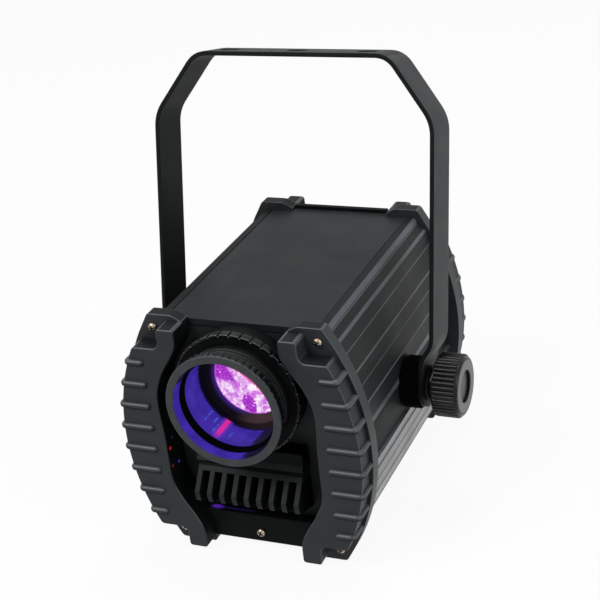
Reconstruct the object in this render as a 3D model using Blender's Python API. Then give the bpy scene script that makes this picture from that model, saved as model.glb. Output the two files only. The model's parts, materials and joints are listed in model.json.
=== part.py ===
"""Compact LED effect light: two cast end caps on a grooved extruded tube, hung in a bent flat-bar yoke.

Metres, +Z up. The light stands on its end caps with its lens towards -Y, and the origin is the
middle of its footprint. Pieces on the body are placed in the body frame, whose origin lies on the
front cap's flange face at the height of the yoke pivots.
"""

import math

import bmesh
import bpy
from mathutils import Matrix, Vector

# Fits
GAP = 0.0003  # between pieces that rest on each other
RUNNING_GAP = 0.0005  # between pieces that turn or slide on each other

# Extruded tube
TUBE_HALF_HEIGHT = 0.0715
TUBE_HALF_WIDTH = 0.072
TUBE_SIDE_RADIUS = 0.1835
TUBE_WALL = 0.002
TUBE_CORNER = 0.0576
TUBE_CORNER_ROUND = 0.0006
SCREW_CHANNEL_DEPTH = 0.0026
SCREW_CHANNEL_HALF_WIDTH = 0.0016
SCREW_CHANNEL_ROUND = 0.0008
SIDE_CHANNEL_HALF_HEIGHT = 0.3049 * TUBE_HALF_HEIGHT
SIDE_CHANNEL_DEPTH = 0.0012
SIDE_GROOVE_SHARES = (0.902, 0.783, 0.615, 0.490, 0.396)  # heights, as shares of the tube's half height
SIDE_GROOVE_DEPTH = 0.0007
SIDE_GROOVE_HALF_WIDTH = 0.0008

# End caps: a flange with a bumper on each side of a deep recess
CAP_SPAN = 0.179  # from flange face to flange face
FLANGE_DEPTH = 0.0085
FLANGE_RISE = 0.0075  # how far the flange stands past the tube, up and sideways
FLANGE_SPREAD = 0.007
FLANGE_HALF_HEIGHT = TUBE_HALF_HEIGHT + FLANGE_RISE
FLANGE_HALF_WIDTH = TUBE_HALF_WIDTH + FLANGE_SPREAD
FLANGE_SIDE_RADIUS = 0.144
FLANGE_CHAMFER = 0.013
FLANGE_SHOULDER = FLANGE_HALF_HEIGHT - FLANGE_CHAMFER  # height at which the round side turns into the chamfer
FLANGE_FLAT_INSET = 0.002
FLANGE_FLAT = TUBE_CORNER - FLANGE_FLAT_INSET  # half width of the flat top and bottom
SKIRT_RISE = 0.005
SKIRT_HALF_HEIGHT = FLANGE_HALF_HEIGHT - SKIRT_RISE  # lower edge of the cap between its feet
RECESS_FLOOR = 0.008  # depth of the recess floor behind the flange face
RECESS_SILL = -0.6962 * FLANGE_HALF_HEIGHT  # lower edge of the recess
SPIGOT_DEPTH = 0.012  # back of the plate that plugs the tube

# Bumpers
BUMPER_DEPTH = 0.0124
BUMPER_INSET = 0.0023
BUMPER_HALF_WIDTH = FLANGE_HALF_WIDTH - BUMPER_INSET
BUMPER_SIDE_RADIUS = 0.1395
PRONG_INSET = 0.0034
PRONG_TOP = FLANGE_HALF_HEIGHT - PRONG_INSET
PRONG_OUTER = 0.0444
SHOULDER_DROP = 0.0167
SHOULDER_HEIGHT = FLANGE_HALF_HEIGHT - SHOULDER_DROP
SHOULDER_FILLET = 0.0045
BUMPER_INNER_SHARES = [
    (0.4152, 0.8127),
    (0.4911, 0.6937),
    (0.5709, 0.5785),
    (0.6329, 0.4203),
    (0.6405, 0.2937),
    (0.6266, 0.0405),
    (0.6266, -0.3772),
    (0.5380, -0.5544),
    (0.4557, -0.6810),
    (0.4076, -0.7949),
]  # points of its inner edge, as shares of the flange's half width and half height
BUMPER_INNER_EDGE = [(x * FLANGE_HALF_WIDTH, z * FLANGE_HALF_HEIGHT) for x, z in BUMPER_INNER_SHARES]
RIB_COUNT = 8
RIB_PITCH = 0.0149
RIB_WIDTH = 0.0023
RIB_HEIGHT = 0.0012
RIB_START = 0.0558  # distance of a rib's inner end from the middle

# Cap screws: pan heads with a cross recess
SCREW_CORNER_INSET = 0.005
SCREW_INSET = 0.0009
SKIRT_SCREW_INSET = 0.0043
SCREW_X = TUBE_CORNER - SCREW_CORNER_INSET
SCREW_Z = TUBE_HALF_HEIGHT - SCREW_INSET
SKIRT_SCREW_Z = SKIRT_SCREW_INSET - TUBE_HALF_HEIGHT
SCREW_HEAD_RADIUS = 0.0028
SCREW_HEAD_HEIGHT = 0.0019
SCREW_SHANK_RADIUS = 0.0012
SCREW_LENGTH = 0.017
CROSS_LENGTH = 0.003
CROSS_WIDTH = 0.0007
CROSS_DEPTH = 0.0011

# Lens tube
LENS_DROP = 0.0379  # lens axis below the tube's top
LENS_Z = TUBE_HALF_HEIGHT - LENS_DROP
LENS_REACH = 0.0267  # front of the lens ring before the flange face
FRONT_RING_RADIUS = 0.036
FRONT_RING_APERTURE = 0.0321
FRONT_RING_LENGTH = 0.006
FRONT_RING_NOTCHES = 52
FRONT_RING_NOTCH_DEPTH = 0.0005
BARREL_RADIUS = 0.0334
BARREL_BORE = 0.031
BARREL_BACK = 0.034
BARREL_SHELF = 0.0075  # where the bore narrows to the lens seat
LENS_SEAT = 0.0125
LENS_APERTURE = 0.0232
LENS_RADIUS = 0.0262
LENS_EDGE = 0.0036
LENS_BULGE = 0.0042
BARREL_SHELF_APERTURE = 0.0273
BAFFLE_FRONT = -0.017
BAFFLE_THICKNESS = 0.002
BAFFLE_WIDTH = 0.0012
CLIP_WIDTH = 0.003
CLIP_THICKNESS = 0.0015

# Focus ring and the sleeve that it turns on
SLEEVE_WALL = 0.0012
SLEEVE_FRONT = -0.005
SLEEVE_BACK = 0.028
SLEEVE_FLANGE_RADIUS = 0.043
SLEEVE_FLANGE_THICKNESS = 0.002
FOCUS_RING_RADIUS = 0.0402
FOCUS_RING_FRONT = -0.008
FOCUS_RING_GRIP = 0.010
FOCUS_RING_COLLAR_RADIUS = 0.0388
FOCUS_RING_LIP = 0.0018
FOCUS_RING_NOTCHES = 36
FOCUS_RING_NOTCH_DEPTH = 0.0009

# Vent hood below the lens
HOOD_HALF_WIDTH = 0.035
HOOD_DROP = 0.0376  # top of the hood below the lens axis
HOOD_TOP = LENS_Z - HOOD_DROP
HOOD_FACE = 0.0042  # how far its front stands before the flange face
HOOD_TOP_SETBACK = 0.0013
HOOD_TOP_ROUND = 0.0015
HOOD_HEIGHT = 0.0125
HOOD_LIP = HOOD_TOP - HOOD_HEIGHT
HOOD_LIP_STEP = 0.002
HEADER_DROP = 0.0042
HEADER_TOP = HOOD_LIP - HEADER_DROP
HEADER_HEIGHT = 0.004
HEADER_REACH = 0.003  # how far the fins' header stands before the hood's face
HEADER_UNDERCUT = 0.0008
FIN_COUNT = 9
FIN_PITCH = 0.008
FIN_WIDTH = 0.0033
FIN_FOOT_RISE = 0.008
FIN_FOOT_Z = RECESS_SILL + FIN_FOOT_RISE
FIN_TIP_REACH = 0.0118
FIN_TIP_RISE = 0.006
FIN_TIP_Z = FIN_FOOT_Z + FIN_TIP_RISE
FIN_NOSE_REACH = 0.0134
FIN_NOSE_RISE = 0.007
FIN_NOSE_Z = FIN_TIP_Z + FIN_NOSE_RISE
VENT_HALF_WIDTH = 0.031
VENT_DROP = 0.0058
VENT_RISE = 0.0015
VENT_TOP = HEADER_TOP - VENT_DROP
VENT_BOTTOM = FIN_FOOT_Z + VENT_RISE

# Yoke: one flat bar, bent
PIVOT_Y = 0.0864
YOKE_LEAN = math.radians(13.4)
YOKE_CLEARANCE = 0.0208  # between the tube's widest place and the outside of an arm
YOKE_HALF_WIDTH = TUBE_HALF_WIDTH + YOKE_CLEARANCE
YOKE_BAR_WIDTH = 0.030
YOKE_BAR_THICKNESS = 0.0028
YOKE_SHOULDER = 0.1638  # pivot to the lower bend
YOKE_TOP = 0.2033  # pivot to the top face
YOKE_SLOPE_RUN = 0.0288
YOKE_JOGGLE = 0.007
YOKE_TOP_HALF = YOKE_HALF_WIDTH - YOKE_SLOPE_RUN
YOKE_FOOT_HALF_WIDTH = YOKE_HALF_WIDTH - YOKE_JOGGLE
JOGGLE_START = 0.017
JOGGLE_END = 0.0268
YOKE_HOLE_RADIUS = 0.0065
YOKE_HOLE_SPACING = 0.046

# Pivots: spacer, washer, knob and stud, and the nut block inside the tube
STUD_RADIUS = 0.004
STUD_CLEARANCE = 0.0004
STUD_TAIL = 0.015
STUD_REACH = TUBE_HALF_WIDTH - STUD_TAIL  # distance of the stud's tip from the middle
SPACER_RADIUS = 0.0165
SPACER_INNER_RADIUS = 0.0132
SPACER_TAPER = 0.002
SPACER_ROUND = 0.0008
WASHER_RADIUS = 0.011
WASHER_THICKNESS = 0.0018
NUT_HALF_SIZE = 0.011
NUT_THICKNESS = 0.008
KNOB_NECK_RADIUS = 0.0095
KNOB_STANDOFF = 0.0062
KNOB_DEPTH = 0.0172
KNOB_BACK = YOKE_FOOT_HALF_WIDTH + KNOB_STANDOFF
KNOB_FACE = KNOB_BACK + KNOB_DEPTH
KNOB_RADIUS = 0.020
KNOB_BEVEL = 0.0016
KNOB_FLUTES = 44
KNOB_FLUTE_DEPTH = 0.0007
KNOB_RECESS_RADIUS = 0.0103
KNOB_RECESS_DEPTH = 0.0035
KNOB_RIM_START = 0.0008

# Inside: chassis, lamp and effect wheel
CHASSIS_HALF_WIDTH = 0.046
CHASSIS_WALL = 0.0016
CHASSIS_FRONT = 0.058
CHASSIS_BACK = 0.142
WHEEL_OFFSET = 0.030  # wheel axis below the lens axis
WHEEL_RADIUS = 0.044
WHEEL_FRONT = 0.050
WHEEL_THICKNESS = 0.0015
WHEEL_WINDOWS = 8
WHEEL_WINDOW_RADIUS = 0.0085
WHEEL_HUB_RADIUS = 0.006
MOTOR_HALF_SIZE = 0.014
MOTOR_FRONT = 0.056
MOTOR_LENGTH = 0.031
MOTOR_SHAFT_RADIUS = 0.0024
MOTOR_SHAFT_DEPTH = 0.012
HEATSINK_FRONT = 0.094
HEATSINK_BASE = 0.006
HEATSINK_DEPTH = 0.044
HEATSINK_HALF_WIDTH = 0.034
HEATSINK_HEADROOM = 0.0075
HEATSINK_TOP = TUBE_HALF_HEIGHT - HEATSINK_HEADROOM
HEATSINK_FINS = 8
HEATSINK_FIN_THICKNESS = 0.002
LED_BOARD_HALF_SIZE = 0.018
LED_BOARD_THICKNESS = 0.0016
LED_RADIUS = 0.007
LED_HEIGHT = 0.005
CONDENSER_RADIUS = 0.014
CONDENSER_WALL = 0.0016
CONDENSER_LENGTH = 0.018
CONDENSER_GLASS_EDGE = 0.003
CONDENSER_GLASS_BULGE = 0.004

# Power supply and control board
SUPPLY_HALF_WIDTH = 0.038
SUPPLY_FRONT = 0.066
SUPPLY_LENGTH = 0.068
SUPPLY_HEIGHT = 0.034
SUPPLY_LID_STEP = 0.002

# Rear panel and what it carries, seen from behind
PANEL_THICKNESS = 0.0015
PANEL_TOP_INSET = 0.0029
PANEL_TOP = TUBE_HALF_HEIGHT - PANEL_TOP_INSET
PANEL_LEDGE = 0.006
FAN_DROP = 0.0426
FAN_Z = PANEL_TOP - FAN_DROP
FAN_HALF_SIZE = 0.030
FAN_DEPTH = 0.015
FAN_BORE = 0.028
FAN_HUB_RADIUS = 0.012
FAN_SPOKES = 3
FAN_SPOKE_HALF_WIDTH = 0.0012
FAN_BLADES = 7
FAN_BLADE_PITCH = math.radians(38)
FAN_BLADE_THICKNESS = 0.0012
FAN_PIN_RADIUS = 0.0015
VENT_SLOTS = 7
VENT_SLOT_HEIGHT = 0.0036
VENT_SLOT_PITCH = 0.0072
PANEL_SCREW_SIDE = 0.0036
PANEL_SCREW_X = BUMPER_INNER_EDGE[0][0] - PANEL_SCREW_SIDE
PANEL_SCREW_INSET = 0.0061
PANEL_SCREW_TOP = PANEL_TOP - PANEL_SCREW_INSET
PANEL_SCREW_RISE = 0.0037
PANEL_SCREW_BOTTOM = RECESS_SILL + PANEL_SCREW_RISE
INLET_X = -0.021
INLET_RISE = 0.025
INLET_Z = RECESS_SILL + INLET_RISE
INLET_HALF_WIDTH = 0.0137
INLET_HALF_HEIGHT = 0.0098
INLET_FLANGE = 0.0025
INLET_DEPTH = 0.020
INLET_SOCKET_DEPTH = 0.014
INLET_WALL = 0.0025  # plastic round the socket
INLET_PIN_PLACES = ((-0.007, -0.002), (0, 0.002), (0.007, -0.002))
INLET_PIN_HALF_WIDTH = 0.001
INLET_PIN_HALF_HEIGHT = 0.002
INLET_PIN_RECESS = 0.005
FUSE_X = 0.010
FUSE_RISE = 0.012
FUSE_Z = RECESS_SILL + FUSE_RISE
FUSE_RADIUS = 0.006
FUSE_DEPTH = 0.024
FUSE_CAP = 0.003
FUSE_FLANGE = 0.0015
DISPLAY_INSET = 0.0275
DISPLAY_DROP = 0.0405
DISPLAY_X = BUMPER_INNER_EDGE[6][0] - DISPLAY_INSET
DISPLAY_Z = FAN_Z - DISPLAY_DROP
DISPLAY_HALF_WIDTH = 0.013
DISPLAY_HALF_HEIGHT = 0.0055
BUTTON_COUNT = 4
BUTTON_PITCH = 0.0085
BUTTON_DROP = 0.0135
BUTTON_Z = DISPLAY_Z - BUTTON_DROP
BUTTON_RADIUS = 0.003
BUTTON_PROUD = 0.0018
BUTTON_TRAVEL = 0.001
BUTTON_COLLAR = 0.001
BOARD_HALF_WIDTH = 0.019
BOARD_RISE = 0.008
BOARD_FOOT = 0.0065
BOARD_TOP = DISPLAY_Z + BOARD_RISE
BOARD_BOTTOM = BUTTON_Z - BOARD_FOOT
BOARD_THICKNESS = 0.0016
BOARD_STANDOFF = 0.0085


def round_side(half_width, radius, z):
    """Distance from the middle, at height z, of a round side whose widest place is at height 0."""
    return half_width - radius + math.sqrt(radius**2 - z**2)


def tube_side_x(z):
    return round_side(TUBE_HALF_WIDTH, TUBE_SIDE_RADIUS, z)


# Worked out from the sizes above
Y_MIDDLE = (CAP_SPAN + BUMPER_DEPTH + RIB_HEIGHT - LENS_REACH) / 2
TUBE_FRONT = FLANGE_DEPTH + GAP
TUBE_LENGTH = CAP_SPAN - 2 * TUBE_FRONT
SLEEVE_BORE = BARREL_RADIUS + GAP
SLEEVE_RADIUS = SLEEVE_BORE + SLEEVE_WALL
SIDE_CHANNEL_X = tube_side_x(SIDE_CHANNEL_HALF_HEIGHT) - SIDE_CHANNEL_DEPTH
TUBE_BORE_HALF_HEIGHT = TUBE_HALF_HEIGHT - TUBE_WALL
TUBE_BORE_HALF_WIDTH = SIDE_CHANNEL_X - TUBE_WALL
TUBE_BORE_SIDE_RADIUS = TUBE_SIDE_RADIUS - TUBE_HALF_WIDTH + TUBE_BORE_HALF_WIDTH
TUBE_FLOOR = -TUBE_BORE_HALF_HEIGHT
WHEEL_Z = LENS_Z - WHEEL_OFFSET
CHASSIS_TOP = WHEEL_Z - MOTOR_HALF_SIZE - GAP
LED_FACE = HEATSINK_FRONT - GAP - LED_BOARD_THICKNESS
RECESS_SEAT = RECESS_FLOOR - GAP  # back of what rests on the recess floor
PANEL_FACE = RECESS_SEAT - PANEL_THICKNESS
STUD_HOLE = STUD_RADIUS + STUD_CLEARANCE


# Meshes


def spaced(start, end, count):
    return [start + (end - start) * i / (count - 1) for i in range(count)]


def circle(radius, count, centre=(0.0, 0.0), start=0.0, sweep=2 * math.pi):
    """Points on a circle, or on part of one with both of its ends."""
    steps = count if sweep == 2 * math.pi else count - 1
    angles = [start + sweep * i / steps for i in range(count)]
    return [(centre[0] + radius * math.cos(a), centre[1] + radius * math.sin(a)) for a in angles]


def rectangle(half_width, half_height, centre=(0.0, 0.0)):
    x, z = centre
    return [
        (x - half_width, z - half_height),
        (x + half_width, z - half_height),
        (x + half_width, z + half_height),
        (x - half_width, z + half_height),
    ]


def side_arc(half_width, radius, top, bottom, count):
    """A round side, from its top to its bottom."""
    return [(round_side(half_width, radius, z), z) for z in spaced(top, bottom, count)]


def mirrored(points):
    """The points and then their mirror image, in one loop round the outline."""
    return points + [(-x, z) for x, z in reversed(points)]


def offset(outline, distance):
    """The outline moved outwards by the distance, or inwards where it is negative."""
    area = sum(a[0] * b[1] - b[0] * a[1] for a, b in zip(outline, outline[1:] + outline[:1]))
    side = distance if area > 0 else -distance
    moved = []
    for i, here in enumerate(outline):
        point = Vector(here)
        before = (point - Vector(outline[i - 1])).normalized()
        after = (Vector(outline[(i + 1) % len(outline)]) - point).normalized()
        out = Vector((before.y + after.y, -before.x - after.x)).normalized()
        stretch = out.dot(Vector((before.y, -before.x)))
        moved.append(tuple(point + out * side / stretch))
    return moved


def axis_matrix(axis):
    """Takes (across, up, along) to the directions of an outline drawn square to this axis."""
    if axis == "X":
        return Matrix(((0, 0, 1, 0), (1, 0, 0, 0), (0, 1, 0, 0), (0, 0, 0, 1)))
    if axis == "Y":
        return Matrix(((1, 0, 0, 0), (0, 0, 1, 0), (0, 1, 0, 0), (0, 0, 0, 1)))
    return Matrix.Identity(4)


def add_prism(shape, outline, start, end, axis):
    """Adds the outline, swept from start to end along the axis, as a closed body."""
    turn = axis_matrix(axis)
    near = [shape.verts.new(turn @ Vector((a, b, start))) for a, b in outline]
    far = [shape.verts.new(turn @ Vector((a, b, end))) for a, b in outline]
    faces = [shape.faces.new(near), shape.faces.new(far[::-1])]
    for i in range(len(outline)):
        j = (i + 1) % len(outline)
        faces.append(shape.faces.new((near[j], near[i], far[i], far[j])))
    bmesh.ops.recalc_face_normals(shape, faces=faces)


def prism(outline, start, end, axis="Y"):
    shape = bmesh.new()
    add_prism(shape, outline, start, end, axis)
    return shape


def box(low, high):
    centre = ((low[0] + high[0]) / 2, (low[2] + high[2]) / 2)
    sides = rectangle((high[0] - low[0]) / 2, (high[2] - low[2]) / 2, centre)
    return prism(sides, low[1], high[1])


def disc(radius, start, end, axis="Y", centre=(0.0, 0.0), count=32):
    return prism(circle(radius, count, centre), start, end, axis)


def discs(radius, places, start, end, axis="Y", count=32):
    """One shape that holds a disc at each place."""
    shape = bmesh.new()
    for place in places:
        add_prism(shape, circle(radius, count, place), start, end, axis)
    return shape


def turned(profile, axis="Y", count=32, centre=(0.0, 0.0)):
    """A closed profile of (radius, along) points, spun round the axis; radius 0 is on the axis."""
    shape = bmesh.new()
    turn = axis_matrix(axis)
    rings = []
    for radius, along in profile:
        around = circle(radius, count, centre) if radius else [centre]
        rings.append([shape.verts.new(turn @ Vector((a, b, along))) for a, b in around])
    for ring, after in zip(rings, rings[1:] + rings[:1]):
        if len(ring) == len(after) == 1:
            continue
        for i in range(count):
            j = (i + 1) % count
            corners = [ring[i % len(ring)], ring[j % len(ring)], after[j % len(after)], after[i % len(after)]]
            shape.faces.new(dict.fromkeys(corners))
    bmesh.ops.recalc_face_normals(shape, faces=shape.faces)
    return shape


def fluted(radius, depth, notches, axis, start, end, land=0.0):
    """A gripping rim: a disc with V notches round it, and a land between them where one is given."""
    profile = [(0.0, radius), ((1 + land) / 2, radius - depth)]
    if land:
        profile.insert(1, (land, radius))
    outline = []
    for i in range(notches):
        for turn, reach in profile:
            angle = 2 * math.pi * (i + turn) / notches
            outline.append((reach * math.cos(angle), reach * math.sin(angle)))
    return prism(outline, start, end, axis)


# Objects


def clear_scene():
    for obj in list(bpy.data.objects):
        bpy.data.objects.remove(obj, do_unlink=True)


def frame(name, location, parent=None, rotation=(0, 0, 0)):
    """An empty that pieces are placed on."""
    empty = bpy.data.objects.new(name, None)
    empty.location = location
    empty.rotation_euler = rotation
    empty.parent = parent
    bpy.context.scene.collection.objects.link(empty)
    return empty


def finish(name, colour, roughness, metallic=0.0, transmission=0.0):
    material = bpy.data.materials.new(name)
    material.use_nodes = True
    shader = material.node_tree.nodes["Principled BSDF"]
    shader.inputs["Base Color"].default_value = (*colour, 1)
    shader.inputs["Roughness"].default_value = roughness
    shader.inputs["Metallic"].default_value = metallic
    shader.inputs["Transmission Weight"].default_value = transmission
    material.diffuse_color = (*colour, 1)
    material.roughness = roughness
    material.metallic = metallic
    return material


FINISHES = {
    "powder_coat": ((0.022, 0.025, 0.027), 0.55),
    "cap_plastic": ((0.030, 0.033, 0.035), 0.50),
    "anodised": ((0.016, 0.018, 0.019), 0.38, 0.6),
    "gloss_plastic": ((0.012, 0.012, 0.013), 0.22),
    "black_plastic": ((0.020, 0.020, 0.021), 0.45),
    "rubber": ((0.012, 0.012, 0.012), 0.75),
    "brass": ((0.62, 0.52, 0.34), 0.30, 1.0),
    "steel": ((0.56, 0.57, 0.58), 0.30, 1.0),
    "aluminium": ((0.70, 0.71, 0.72), 0.35, 1.0),
    "glass": ((0.75, 0.70, 0.95), 0.02, 0.0, 0.9),
    "led": ((0.95, 0.85, 0.55), 0.30),
    "board": ((0.02, 0.16, 0.07), 0.50),
    "display": ((0.05, 0.01, 0.01), 0.08),
}


def make(name, shape, parent, kind, location=(0, 0, 0)):
    """Turns a shape into a named object with its own material."""
    mesh = bpy.data.meshes.new(name)
    shape.to_mesh(mesh)
    shape.free()
    mesh.materials.append(finish(f"{name}_{kind}", *FINISHES[kind]))
    mesh.shade_smooth()
    mesh.set_sharp_from_angle(angle=math.radians(30))
    obj = bpy.data.objects.new(name, mesh)
    obj.location = location
    obj.parent = parent
    bpy.context.scene.collection.objects.link(obj)
    return obj


def tool(name, shape, target):
    """A hidden helper that shares its target's frame."""
    mesh = bpy.data.meshes.new(name)
    shape.to_mesh(mesh)
    shape.free()
    helper = bpy.data.objects.new(name, mesh)
    helper.location = target.location
    helper.parent = target.parent
    helper.hide_render = True
    helper.display_type = "WIRE"
    bpy.context.scene.collection.objects.link(helper)
    return helper


def boolean(target, shape, operation):
    number = len(target.modifiers) + 1
    helper = tool(f"{target.name}_{operation.lower()}_{number}", shape, target)
    modifier = target.modifiers.new(f"{operation.lower()} {number}", "BOOLEAN")
    modifier.operation = operation
    modifier.solver = "EXACT"
    modifier.object = helper


def cut(target, *shapes):
    for shape in shapes:
        boolean(target, shape, "DIFFERENCE")


def add(target, *shapes):
    for shape in shapes:
        boolean(target, shape, "UNION")


# Outlines that several pieces share


def recess_edge():
    """Right edge of the recess, top to sill: the bumper's inner edge, cut off at the sill."""
    kept = [point for point in BUMPER_INNER_EDGE if point[1] > RECESS_SILL]
    last = kept[-1]
    below = BUMPER_INNER_EDGE[len(kept)]
    share = (last[1] - RECESS_SILL) / (last[1] - below[1])
    return kept + [(last[0] + (below[0] - last[0]) * share, RECESS_SILL)]


def recess_outline(top):
    return mirrored([(BUMPER_INNER_EDGE[0][0], top), *recess_edge()])


def flange_outline():
    slot = [(BUMPER_INNER_EDGE[0][0], FLANGE_HALF_HEIGHT), *recess_edge()]
    foot = BUMPER_INNER_EDGE[-1][0]
    right = [
        (FLANGE_FLAT, FLANGE_HALF_HEIGHT),
        *side_arc(FLANGE_HALF_WIDTH, FLANGE_SIDE_RADIUS, FLANGE_SHOULDER, -FLANGE_SHOULDER, 13),
        (FLANGE_FLAT, -FLANGE_HALF_HEIGHT),
        (foot, -FLANGE_HALF_HEIGHT),
        (foot, -SKIRT_HALF_HEIGHT),
    ]
    return slot[::-1] + right + [(-x, z) for x, z in right[::-1]] + [(-x, z) for x, z in slot]


def bumper_outline():
    """The right-hand bumper, from its top prong round its outer side."""
    centre = (PRONG_OUTER + SHOULDER_FILLET, SHOULDER_HEIGHT + SHOULDER_FILLET)
    fillet = circle(SHOULDER_FILLET, 5, centre, math.pi, math.pi / 2)
    outer = side_arc(BUMPER_HALF_WIDTH, BUMPER_SIDE_RADIUS, SHOULDER_HEIGHT, -SHOULDER_HEIGHT, 13)
    upper = [(BUMPER_INNER_EDGE[0][0], PRONG_TOP), (PRONG_OUTER, PRONG_TOP), *fillet]
    lower = [(x, -z) for x, z in fillet[::-1]]
    foot = [(PRONG_OUTER, -PRONG_TOP), (BUMPER_INNER_EDGE[-1][0], -PRONG_TOP)]
    return upper + outer + lower + foot + BUMPER_INNER_EDGE[::-1]


def tube_outline():
    """The tube's outer section: a screw channel beside each corner, and grooves along each side."""
    channel_floor = SCREW_Z - SCREW_CHANNEL_HALF_WIDTH
    inner = SCREW_X - SCREW_CHANNEL_HALF_WIDTH
    outer = SCREW_X + SCREW_CHANNEL_HALF_WIDTH
    quarter = [
        (inner, TUBE_HALF_HEIGHT),
        (inner, channel_floor + SCREW_CHANNEL_ROUND),
        (inner + SCREW_CHANNEL_ROUND, channel_floor),
        (outer - SCREW_CHANNEL_ROUND, channel_floor),
        (outer, channel_floor + SCREW_CHANNEL_ROUND),
        (outer, TUBE_HALF_HEIGHT),
        (TUBE_CORNER - TUBE_CORNER_ROUND, TUBE_HALF_HEIGHT),
        (TUBE_CORNER, TUBE_HALF_HEIGHT - TUBE_CORNER_ROUND),
    ]
    for share in SIDE_GROOVE_SHARES:
        height = share * TUBE_HALF_HEIGHT
        above = height + SIDE_GROOVE_HALF_WIDTH
        below = height - SIDE_GROOVE_HALF_WIDTH
        quarter.append((tube_side_x(above), above))
        quarter.append((tube_side_x(height) - SIDE_GROOVE_DEPTH, height))
        quarter.append((tube_side_x(below), below))
    edge = SIDE_CHANNEL_HALF_HEIGHT
    quarter += [(tube_side_x(edge), edge), (SIDE_CHANNEL_X, edge - SIDE_CHANNEL_DEPTH / 2)]
    return mirrored(quarter + [(x, -z) for x, z in quarter[::-1]])


def tube_bore_outline():
    """The tube's inner section, which leaves its wall round the screw channels."""
    step_x = SCREW_X - SCREW_CHANNEL_HALF_WIDTH - TUBE_WALL
    step_z = SCREW_Z - SCREW_CHANNEL_DEPTH - TUBE_WALL
    side = side_arc(TUBE_BORE_HALF_WIDTH, TUBE_BORE_SIDE_RADIUS, step_z, -step_z, 14)
    quarter = [(step_x, TUBE_BORE_HALF_HEIGHT), (step_x, step_z)]
    return mirrored(quarter + side + [(x, -z) for x, z in quarter[::-1]])


# Body


def end_cap(name, parent):
    """Flange, bumpers, ribs and the plate that plugs the tube, with its outer side towards -Y."""
    cap = make(name, prism(flange_outline(), 0, FLANGE_DEPTH), parent, "cap_plastic")
    add(cap, prism(offset(tube_bore_outline(), -GAP), RECESS_FLOOR, SPIGOT_DEPTH))
    for side in (1, -1):
        outline = [(side * x, z) for x, z in bumper_outline()]
        add(cap, prism(outline, -BUMPER_DEPTH, FLANGE_DEPTH / 4))
    add(cap, bumper_ribs())
    places = [(x, z) for x in (-SCREW_X, SCREW_X) for z in (-SCREW_Z, SCREW_Z)]
    places.append((0, SKIRT_SCREW_Z))
    cut(cap, discs(SCREW_SHANK_RADIUS + GAP, places, -FLANGE_DEPTH, 2 * SPIGOT_DEPTH, count=12))
    return cap


def bumper_ribs():
    """Half-height bars that cross each bumper's face and wrap round its outer corner."""
    ribs = bmesh.new()
    front = -BUMPER_DEPTH - RIB_HEIGHT
    for side in (1, -1):
        for i in range(RIB_COUNT):
            z = (i - (RIB_COUNT - 1) / 2) * RIB_PITCH
            corner = round_side(BUMPER_HALF_WIDTH, BUMPER_SIDE_RADIUS, z)
            outline = [
                (RIB_START, front),
                (corner, front),
                (corner + RIB_HEIGHT, front + RIB_HEIGHT),
                (corner + RIB_HEIGHT, RIB_HEIGHT),
                (corner - RIB_WIDTH, RIB_HEIGHT),
                (corner - RIB_WIDTH, RIB_WIDTH - BUMPER_DEPTH),
                (RIB_START, RIB_WIDTH - BUMPER_DEPTH),
            ]
            outline = [(side * x, y) for x, y in outline]
            add_prism(ribs, outline, z - RIB_WIDTH / 2, z + RIB_WIDTH / 2, "Z")
    return ribs


def screw_shape(head_radius, head_height, shank_radius, length):
    """A pan-head screw along +Y, with its head's seat at the origin and its tip inside."""
    head = [
        (0, -head_height),
        (head_radius * 0.72, -head_height * 0.85),
        (head_radius, -head_height * 0.3),
        (head_radius, 0),
    ]
    shank = [(shank_radius, 0), (shank_radius, length - shank_radius), (0, length)]
    return turned(head + shank, count=8)


def cross_recess():
    cross = bmesh.new()
    half, thin = CROSS_LENGTH / 2, CROSS_WIDTH / 2
    plus = [
        (half, -thin), (half, thin), (thin, thin), (thin, half), (-thin, half), (-thin, thin),
        (-half, thin), (-half, -thin), (-thin, -thin), (-thin, -half), (thin, -half), (thin, -thin),
    ]  # fmt: skip
    add_prism(cross, plus, -2 * SCREW_HEAD_HEIGHT, CROSS_DEPTH - SCREW_HEAD_HEIGHT, "Y")
    return cross


def screw(name, parent, place, seat, scale=1.0, length=SCREW_LENGTH):
    """A cap or panel screw whose head rests before the face at this depth."""
    radius = SCREW_HEAD_RADIUS * scale
    shape = screw_shape(radius, SCREW_HEAD_HEIGHT * scale, SCREW_SHANK_RADIUS, length)
    obj = make(name, shape, parent, "brass", (place[0], seat - GAP, place[1]))
    cross = cross_recess()
    bmesh.ops.scale(cross, vec=(scale, scale, scale), verts=cross.verts)
    cut(obj, cross)
    return obj


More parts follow.
